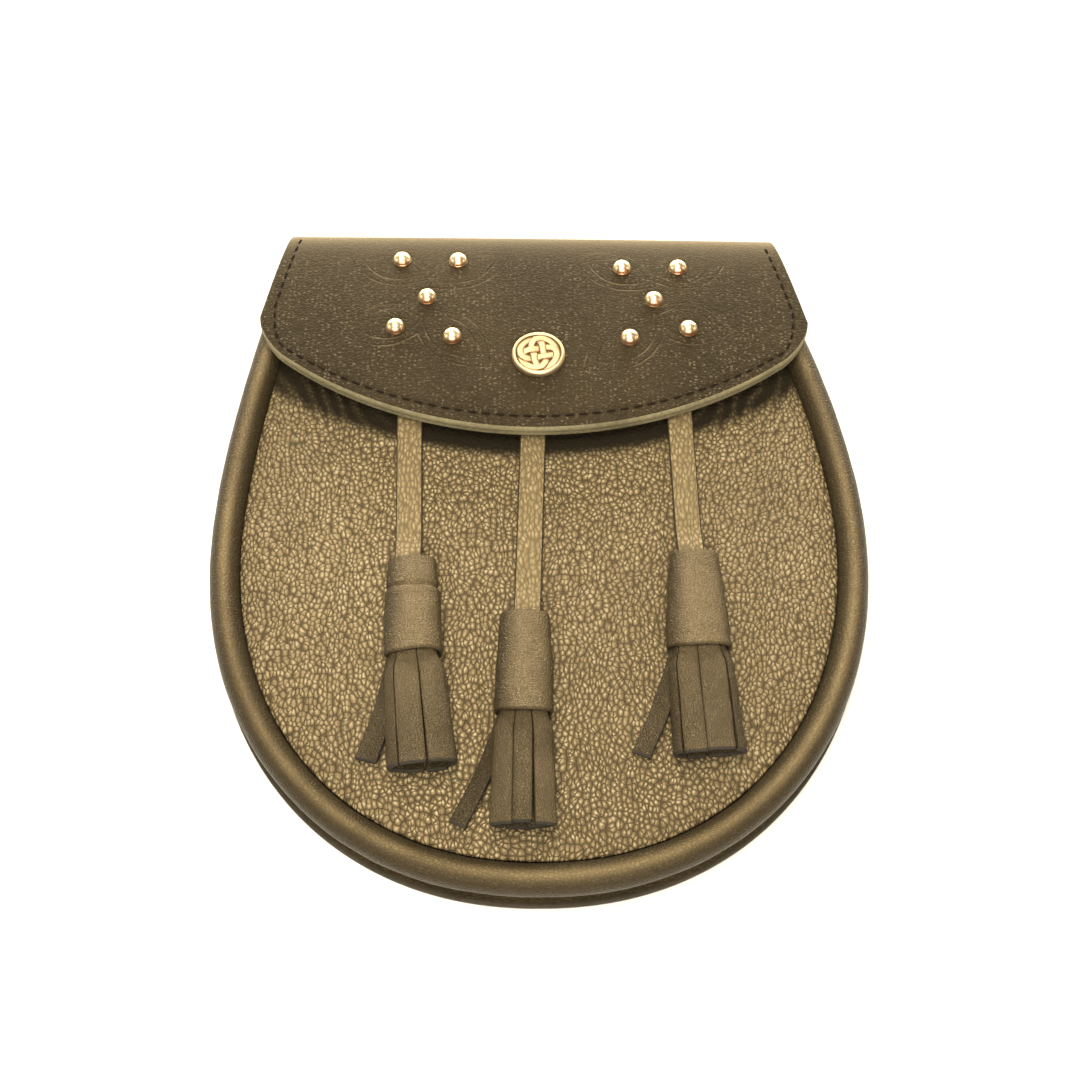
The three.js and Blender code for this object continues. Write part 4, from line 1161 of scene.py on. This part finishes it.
def make_strap(name, tassel):
    """Flat strap from under the flap, over the panel and into the wrap."""
    top, end, _ = tassel_axis(tassel)
    tuck = top + (end - top) * (STRAP_TUCK / np.linalg.norm(end - top))

    def surface(across, along):
        y = tuck[1] + (STRAP_TOP_Y - tuck[1]) * along
        lift = smoothstep(y, top[1], top[1] + 12)
        run = np.clip((y - top[1]) / (STRAP_TOP_Y - 10 - top[1]), -0.2, 1.2)
        x = tassel["strap_end"] + (tassel["strap"] - tassel["strap_end"]) * run
        edge = x + across * STRAP_HALF
        flat = np.maximum(panel_at(edge, y), panel_at(x, y)) + SEAM_GAP
        low = tuck[2] - STRAP_WALL / 2 + (flat - tuck[2] + STRAP_WALL / 2) * lift
        curl = 0.25 * (1 - across ** 2) + gentle_waves(edge, y, 0.2, 9.0, tassel["seed"])
        points = stacked(edge, y, low + STRAP_WALL + curl - 0.1)
        return points, np.tile(unit(np.array([0.0, 0.06, 1.0])), (len(y), 1)), np.tile([0.0, 1.0, 0.0], (len(y), 1))

    piece = slab(f"strap_{name}_leather", surface, STRAP_LEATHER, wall=STRAP_WALL, half=STRAP_HALF,
                 columns=14, outer_rows=150, inner_rows=20, edge_finish=DARK_EDGE, eased=0.4)
    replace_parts(piece, f"strap_{name}")


def squared_oval(angle, width, depth, squareness):
    """Points of a slightly squared oval, across and up."""
    return [np.sign(part) * np.abs(part) ** (2 / squareness) * size / 2
            for part, size in ((np.cos(angle), width), (np.sin(angle), depth))]


def ring_point(centre, right, up, width, depth, angle, squareness):
    """Points on a squared oval round a tassel's axis, and their outward directions."""
    a, b = squared_oval(angle, width, depth, squareness)
    point = centre + right * a[:, None] + up * b[:, None]
    normal = right * (np.cos(angle) / np.maximum(width, 0.1))[:, None]
    normal = normal + up * (np.sin(angle) / np.maximum(depth, 0.1))[:, None]
    return point, unit(normal)


def make_wrap(name, tassel):
    """Leather sleeve rolled round the strap's end, its free edge lapped over at the side."""
    top, end, _ = tassel_axis(tassel)
    axis = unit(end - top)
    right, up = across_frame(axis)
    crease = tassel["crease"]

    def rolled(across):
        """How far the leather has gone round by here."""
        return (across + 1) / 2 * (2 * math.pi + WRAP_LAP)

    def surface(across, along):
        share = 1 - along
        angle = WRAP_START + rolled(across)
        lapped = smoothstep(rolled(across), 2 * math.pi - 0.35, 2 * math.pi + 0.05)
        spread = 2 * lapped * WRAP_WALL * 0.62
        width = WRAP_TOP_WIDTH + (tassel["end_width"] - WRAP_TOP_WIDTH) * share + spread
        depth = WRAP_TOP_DEPTH + (WRAP_END_DEPTH - WRAP_TOP_DEPTH) * share + spread
        puff = 0.30 * np.sin(math.pi * share) + gentle_waves(angle * 5, share * 28, 0.32, 6.0, tassel["seed"] + 0.5)
        if crease:
            puff = puff - 0.5 * np.exp(-((share - crease) / 0.02) ** 2)
            puff = puff + 0.18 * np.exp(-((share - crease - 0.07) / 0.05) ** 2)
        wave = 0.35 * np.sin(angle * 2 + tassel["seed"]) * np.where(share > 0.5, share, -share * 0.4)
        centre = top + (end - top) * share[:, None] + axis * wave[:, None]
        point, normal = ring_point(centre, right, up, width, depth, angle, 2.1)
        return point + normal * (puff - 0.25)[:, None], normal, np.tile(-axis, (len(share), 1))

    def flank_shade(across, along):
        """Painted shade down the sides, away from the top where the light falls."""
        return 0.9 * (1 - smoothstep(np.sin(WRAP_START + rolled(across) + 0.2), 0.40, 1.0))

    piece = slab(f"wrap_{name}_leather", surface, WRAP_LEATHER, wall=1.2, half=26, columns=110,
                 outer_rows=60, inner_rows=24, edge_finish=FRINGE_LEATHER, marks={"press_and_shade": flank_shade})
    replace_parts(piece, f"wrap_{name}")


# Strips of a fringe
STRIP_WALL = 1.5
STRIP_GAP = 0.14
HEAD_LENGTH = 9.0
SPARE_STRIP = 6.0
FRINGE_SQUARENESS = 2.6


def oval_run(width, depth):
    """Length along a fringe's oval from its right side, by direction round its axis."""
    angle = np.linspace(-math.pi, 3 * math.pi, 2881)
    run = run_along(stacked(*squared_oval(angle, width, depth, FRINGE_SQUARENESS)))
    return angle, run - np.interp(0, angle, run)


def strip_places(tassel):
    """Where each strip starts and ends round the fringe, as shares of the way round, and
    the direction there. The seen cuts come first; the rest are even."""
    angle, run = oval_run(tassel["tip_width"], FRINGE_DEPTH)
    whole = np.interp(2 * math.pi, angle, run)
    seen = list(tassel["cuts"])
    spare = max(int(round((seen[0] + whole - seen[-1]) / SPARE_STRIP)), 1)
    cuts = seen + list(np.linspace(seen[-1], seen[0] + whole, spare + 1))[1:]
    return list(zip(cuts, cuts[1:])), angle, run


def make_fringe(name, tassel):
    """Cut strips side by side that hang from the wrap, and one that lies out to the side."""
    top, end, tip = tassel_axis(tassel)
    wrap_axis, hang = unit(end - top), unit(tip - end)
    length = float(np.linalg.norm(tip - end))
    right, up = across_frame(hang)
    random = np.random.default_rng(tassel["seed"])
    strips, angle_of, run_of = strip_places(tassel)
    parts = []
    for number, (first, last) in enumerate(strips):
        sway = random.uniform(-0.35, 0.35)
        lift = random.uniform(-0.10, 0.42)
        curl = random.uniform(-0.30, 0.40)
        reach = 1 - random.uniform(0.0, 0.022)

        def surface(across, along, middle=(first + last) / 2, half=(last - first) / 2, reach=reach, sway=sway,
                    lift=lift, curl=curl, number=number):
            place = -HEAD_LENGTH + (1 - along) * (HEAD_LENGTH + length * reach)
            share = np.clip(place / length, 0, 1)
            near_w = tassel["end_width"] - 2 * WRAP_WALL - 0.4
            near_d = WRAP_END_DEPTH - 2 * WRAP_WALL - 0.4
            flare = smoothstep(share, 0, 0.2)
            width = near_w + (tassel["tip_width"] - 0.2 - near_w) * (0.62 * flare + 0.38 * share) + lift * flare
            depth = near_d + (FRINGE_DEPTH - 0.3 - near_d) * (0.8 * flare + 0.2 * share) + lift * flare
            centre = end + np.where((place < 0)[:, None], wrap_axis, hang) * place[:, None]

            def on_oval(run):
                angle = np.interp(run, run_of, angle_of)
                return ring_point(centre, right, up, width, depth, angle, FRINGE_SQUARENESS)

            spot, normal = on_oval(middle + across * (half - STRIP_GAP * (0.3 + 0.7 * share)) + sway * share)
            flat_spot, flat_normal = on_oval(middle + sway * share)
            aside = unit(np.cross(hang, flat_normal))
            flat_spot = flat_spot + aside * (across * (half - STRIP_GAP))[:, None]
            flatter = (0.35 * share)[:, None]
            spot = spot * (1 - flatter) + flat_spot * flatter
            normal = unit(normal * (1 - flatter) + flat_normal * flatter)
            waves = gentle_waves(across * (half - STRIP_GAP), place, 0.30, 8.0, number * 3.3 + tassel["seed"])
            raised = waves * flare + curl * share ** 3 - 0.22 * across ** 4 * flare
            return spot + normal * raised[:, None], normal, np.tile(-hang, (len(along), 1))

        # Painted shade: strips that face sideways, away from the light, are darker, and so are every strip's long
        # edges; the random part is the leather's own varying tone.
        facing = float(np.sin(np.interp((first + last) / 2, run_of, angle_of)))
        darker = 0.20 * random.random() + 0.6 * (1 - float(smoothstep(facing, 0.3, 0.75)))

        def shade(across, along, darker=darker):
            return darker + 0.3 * smoothstep(np.abs(across), 0.93, 1.0)

        parts.append(slab(f"fringe_{name}_strip_{number + 1}", surface, FRINGE_LEATHER,
                          wall=STRIP_WALL, half=(last - first) / 2, columns=10, outer_rows=70, inner_rows=26,
                          edge_finish=CUT_END, marks={"press_and_shade": shade}, eased=0.22, sides_cut=False))
    parts.append(loose_strip(name, tassel, end, wrap_axis))
    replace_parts(joined(f"fringe_{name}_strips", parts), f"fringe_{name}")


def loose_strip(name, tassel, end, wrap_axis):
    """The strip that has slipped out to the left and lies on the front panel."""
    root = end + wrap_axis * (SEAM_GAP - 3.0)
    root[0] -= tassel["end_width"] / 2 - WRAP_WALL - 2.4
    tip = np.array([tassel["splay"][0], WIDEST_Y + tassel["splay"][1]])
    half = tassel["splay_width"] / 2
    toward = unit(tip - root[:2])
    side = np.array([-toward[1], toward[0]])

    def surface(across, along):
        share = 1 - along
        middle = root[:2] + (tip - root[:2]) * share[:, None]
        middle = middle + side * (1.1 * np.sin(math.pi * share))[:, None]
        spread = half * (0.72 + 0.28 * smoothstep(share, 0, 0.5))
        edge = middle + side * (across * spread)[:, None]
        flat = panel_at(*edge.T) + 2 * SEAM_GAP + 0.35
        low = root[2] - 0.75 + (flat - root[2] + 0.75) * smoothstep(share, 0, 0.55)
        twist = across * 0.9 * np.sin(math.pi * share)
        waves = gentle_waves(*edge.T, 0.3, 6.0, tassel["seed"] + 8.0)
        normal = np.tile(unit(np.array([-0.1, 0.05, 1.0])), (len(share), 1))
        points = stacked(*edge.T, low + STRIP_WALL + twist + waves)
        return points, normal, np.tile([*-toward, 0.0], (len(share), 1))

    # Painted shade: the loose strip is darker all over, as it lies low and flat beside the wrap.
    def shade(across, along):
        return np.full(len(across), 0.72)

    return slab(f"fringe_{name}_loose_strip", surface, FRINGE_LEATHER, wall=STRIP_WALL, half=half,
                columns=10, outer_rows=60, inner_rows=20, edge_finish=CUT_END, marks={"press_and_shade": shade}, eased=0.3)


def joined(name, parts):
    """One mesh out of several pieces that are cut from the same leather."""
    mesh_maker = bmesh.new()
    for part in parts:
        mesh_maker.from_mesh(part.data)
    materials = list(parts[0].data.materials)
    for part in parts:
        mesh = part.data
        bpy.data.objects.remove(part)
        bpy.data.meshes.remove(mesh)
    return settle(name, mesh_maker, materials)


# Belt loops on the back

def make_belt_loop(side_name):
    """Plain strap with a sewn foot at each end, under the hollow of the back."""
    low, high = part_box(f"belt_loop_{side_name}")
    centre_x, centre_y = (low.x + high.x) / 2 / MM, (low.y + high.y) / 2 / MM
    half = (high.x - low.x) / 2 / MM
    seat = high.z / MM - LOOP_WALL
    reach = LOOP_MIDDLE + LOOP_SLANT + LOOP_FOOT
    fine = np.linspace(-reach, reach, 400)
    height = np.interp(np.abs(fine), [LOOP_MIDDLE, LOOP_MIDDLE + LOOP_SLANT], [0, seat])
    soft = np.maximum(softened(height, 17), 0)

    def surface(across, along):
        y = (2 * along - 1) * (reach - LOOP_WALL / 2)
        slope = (np.interp(y + 0.3, fine, soft) - np.interp(y - 0.3, fine, soft)) / 0.6
        points = stacked(centre_x + across * half, centre_y + y, np.interp(y, fine, soft))
        return points, unit(stacked(0.0, slope, -1.0)), unit(stacked(0.0, 1.0, slope))

    def press_and_shade(across, along):
        """Seams along both edges and across each foot."""
        from_edge = half * (1 - np.abs(across)) - 1.8
        from_seam = reach * np.abs(2 * along - 1) - (reach - LOOP_FOOT / 2)
        return 0.22 * (np.exp(-(from_edge / 0.45) ** 2) + np.exp(-(from_seam / 0.5) ** 2))

    piece = slab(f"belt_loop_{side_name}_leather", surface, BACK_LEATHER, wall=LOOP_WALL,
                 half=half, columns=60, outer_rows=130, inner_rows=60, press_and_shade=press_and_shade, edge_finish=EDGE_LEATHER)
    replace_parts(piece, f"belt_loop_{side_name}")


# Light and floor

FLOOR_LEVEL = (0, 0, 0)
POUCH = (0, 0, 0.01)

# Lamps: place, what they point at, size, power in watts and colour
LAMPS = {
    "window_behind": ((-0.22, 0.74, 1.03), POUCH, (0.42, 0.22), 6.5, (1.0, 0.90, 0.72)),
    "sheen_overhead": ((-0.05, 0.02, 1.12), POUCH, (0.6, 0.4), 14.5, (1.0, 0.93, 0.78)),
    "low_backdrop": ((0.0, 1.0, 0.16), (0, 0, 0.03), (1.7, 0.30), 24.0, (1.0, 0.88, 0.66)),
    "soft_front": ((0.0, -1.00, 0.85), FLOOR_LEVEL, (1.2, 0.5), 22.0, (1.0, 0.92, 0.78)),
    "fill_left": ((-1.0, 0.1, 0.40), FLOOR_LEVEL, (0.5, 0.4), 1.6, (1.0, 0.90, 0.72)),
    "fill_right": ((1.0, 0.1, 0.40), FLOOR_LEVEL, (0.5, 0.4), 1.3, (1.0, 0.90, 0.72)),
}


def light_the_room():
    for name, (place, aim, size, power, color) in LAMPS.items():
        data = bpy.data.lights.new(name, "AREA")
        data.shape = "RECTANGLE"
        data.size, data.size_y = size
        data.energy, data.color = power, color
        lamp = placed_object(name, data)
        lamp.location = place
        lamp.rotation_mode = "QUATERNION"
        lamp.rotation_quaternion = (Vector(aim) - Vector(place)).to_track_quat("-Z", "Y")
    world = bpy.data.worlds.new("pale_room")
    scene.world = world
    world.use_nodes = True
    background = world.node_tree.nodes["Background"]
    background.inputs["Color"].default_value = (1.0, 0.93, 0.82, 1.0)
    background.inputs["Strength"].default_value = 0.18
    scene.view_settings.view_transform = "Standard"


def make_floor():
    mesh_maker = bmesh.new()
    bmesh.ops.create_grid(mesh_maker, x_segments=2, y_segments=2, size=6.0)
    floor = meshed("pale_floor", mesh_maker, [floor_finish()], smooth=False)


place_camera()
light_the_room()
make_floor()
make_front_panel()
make_back_panel()
make_gusset()
make_welt()
make_flap()
for stud_name, stud_place in STUDS.items():
    make_stud(stud_name, stud_place)
make_button()
make_clasp()
for tassel_name, tassel_sizes in TASSELS.items():
    make_strap(tassel_name, tassel_sizes)
    make_wrap(tassel_name, tassel_sizes)
    make_fringe(tassel_name, tassel_sizes)
for loop_side in ("left", "right"):
    make_belt_loop(loop_side)
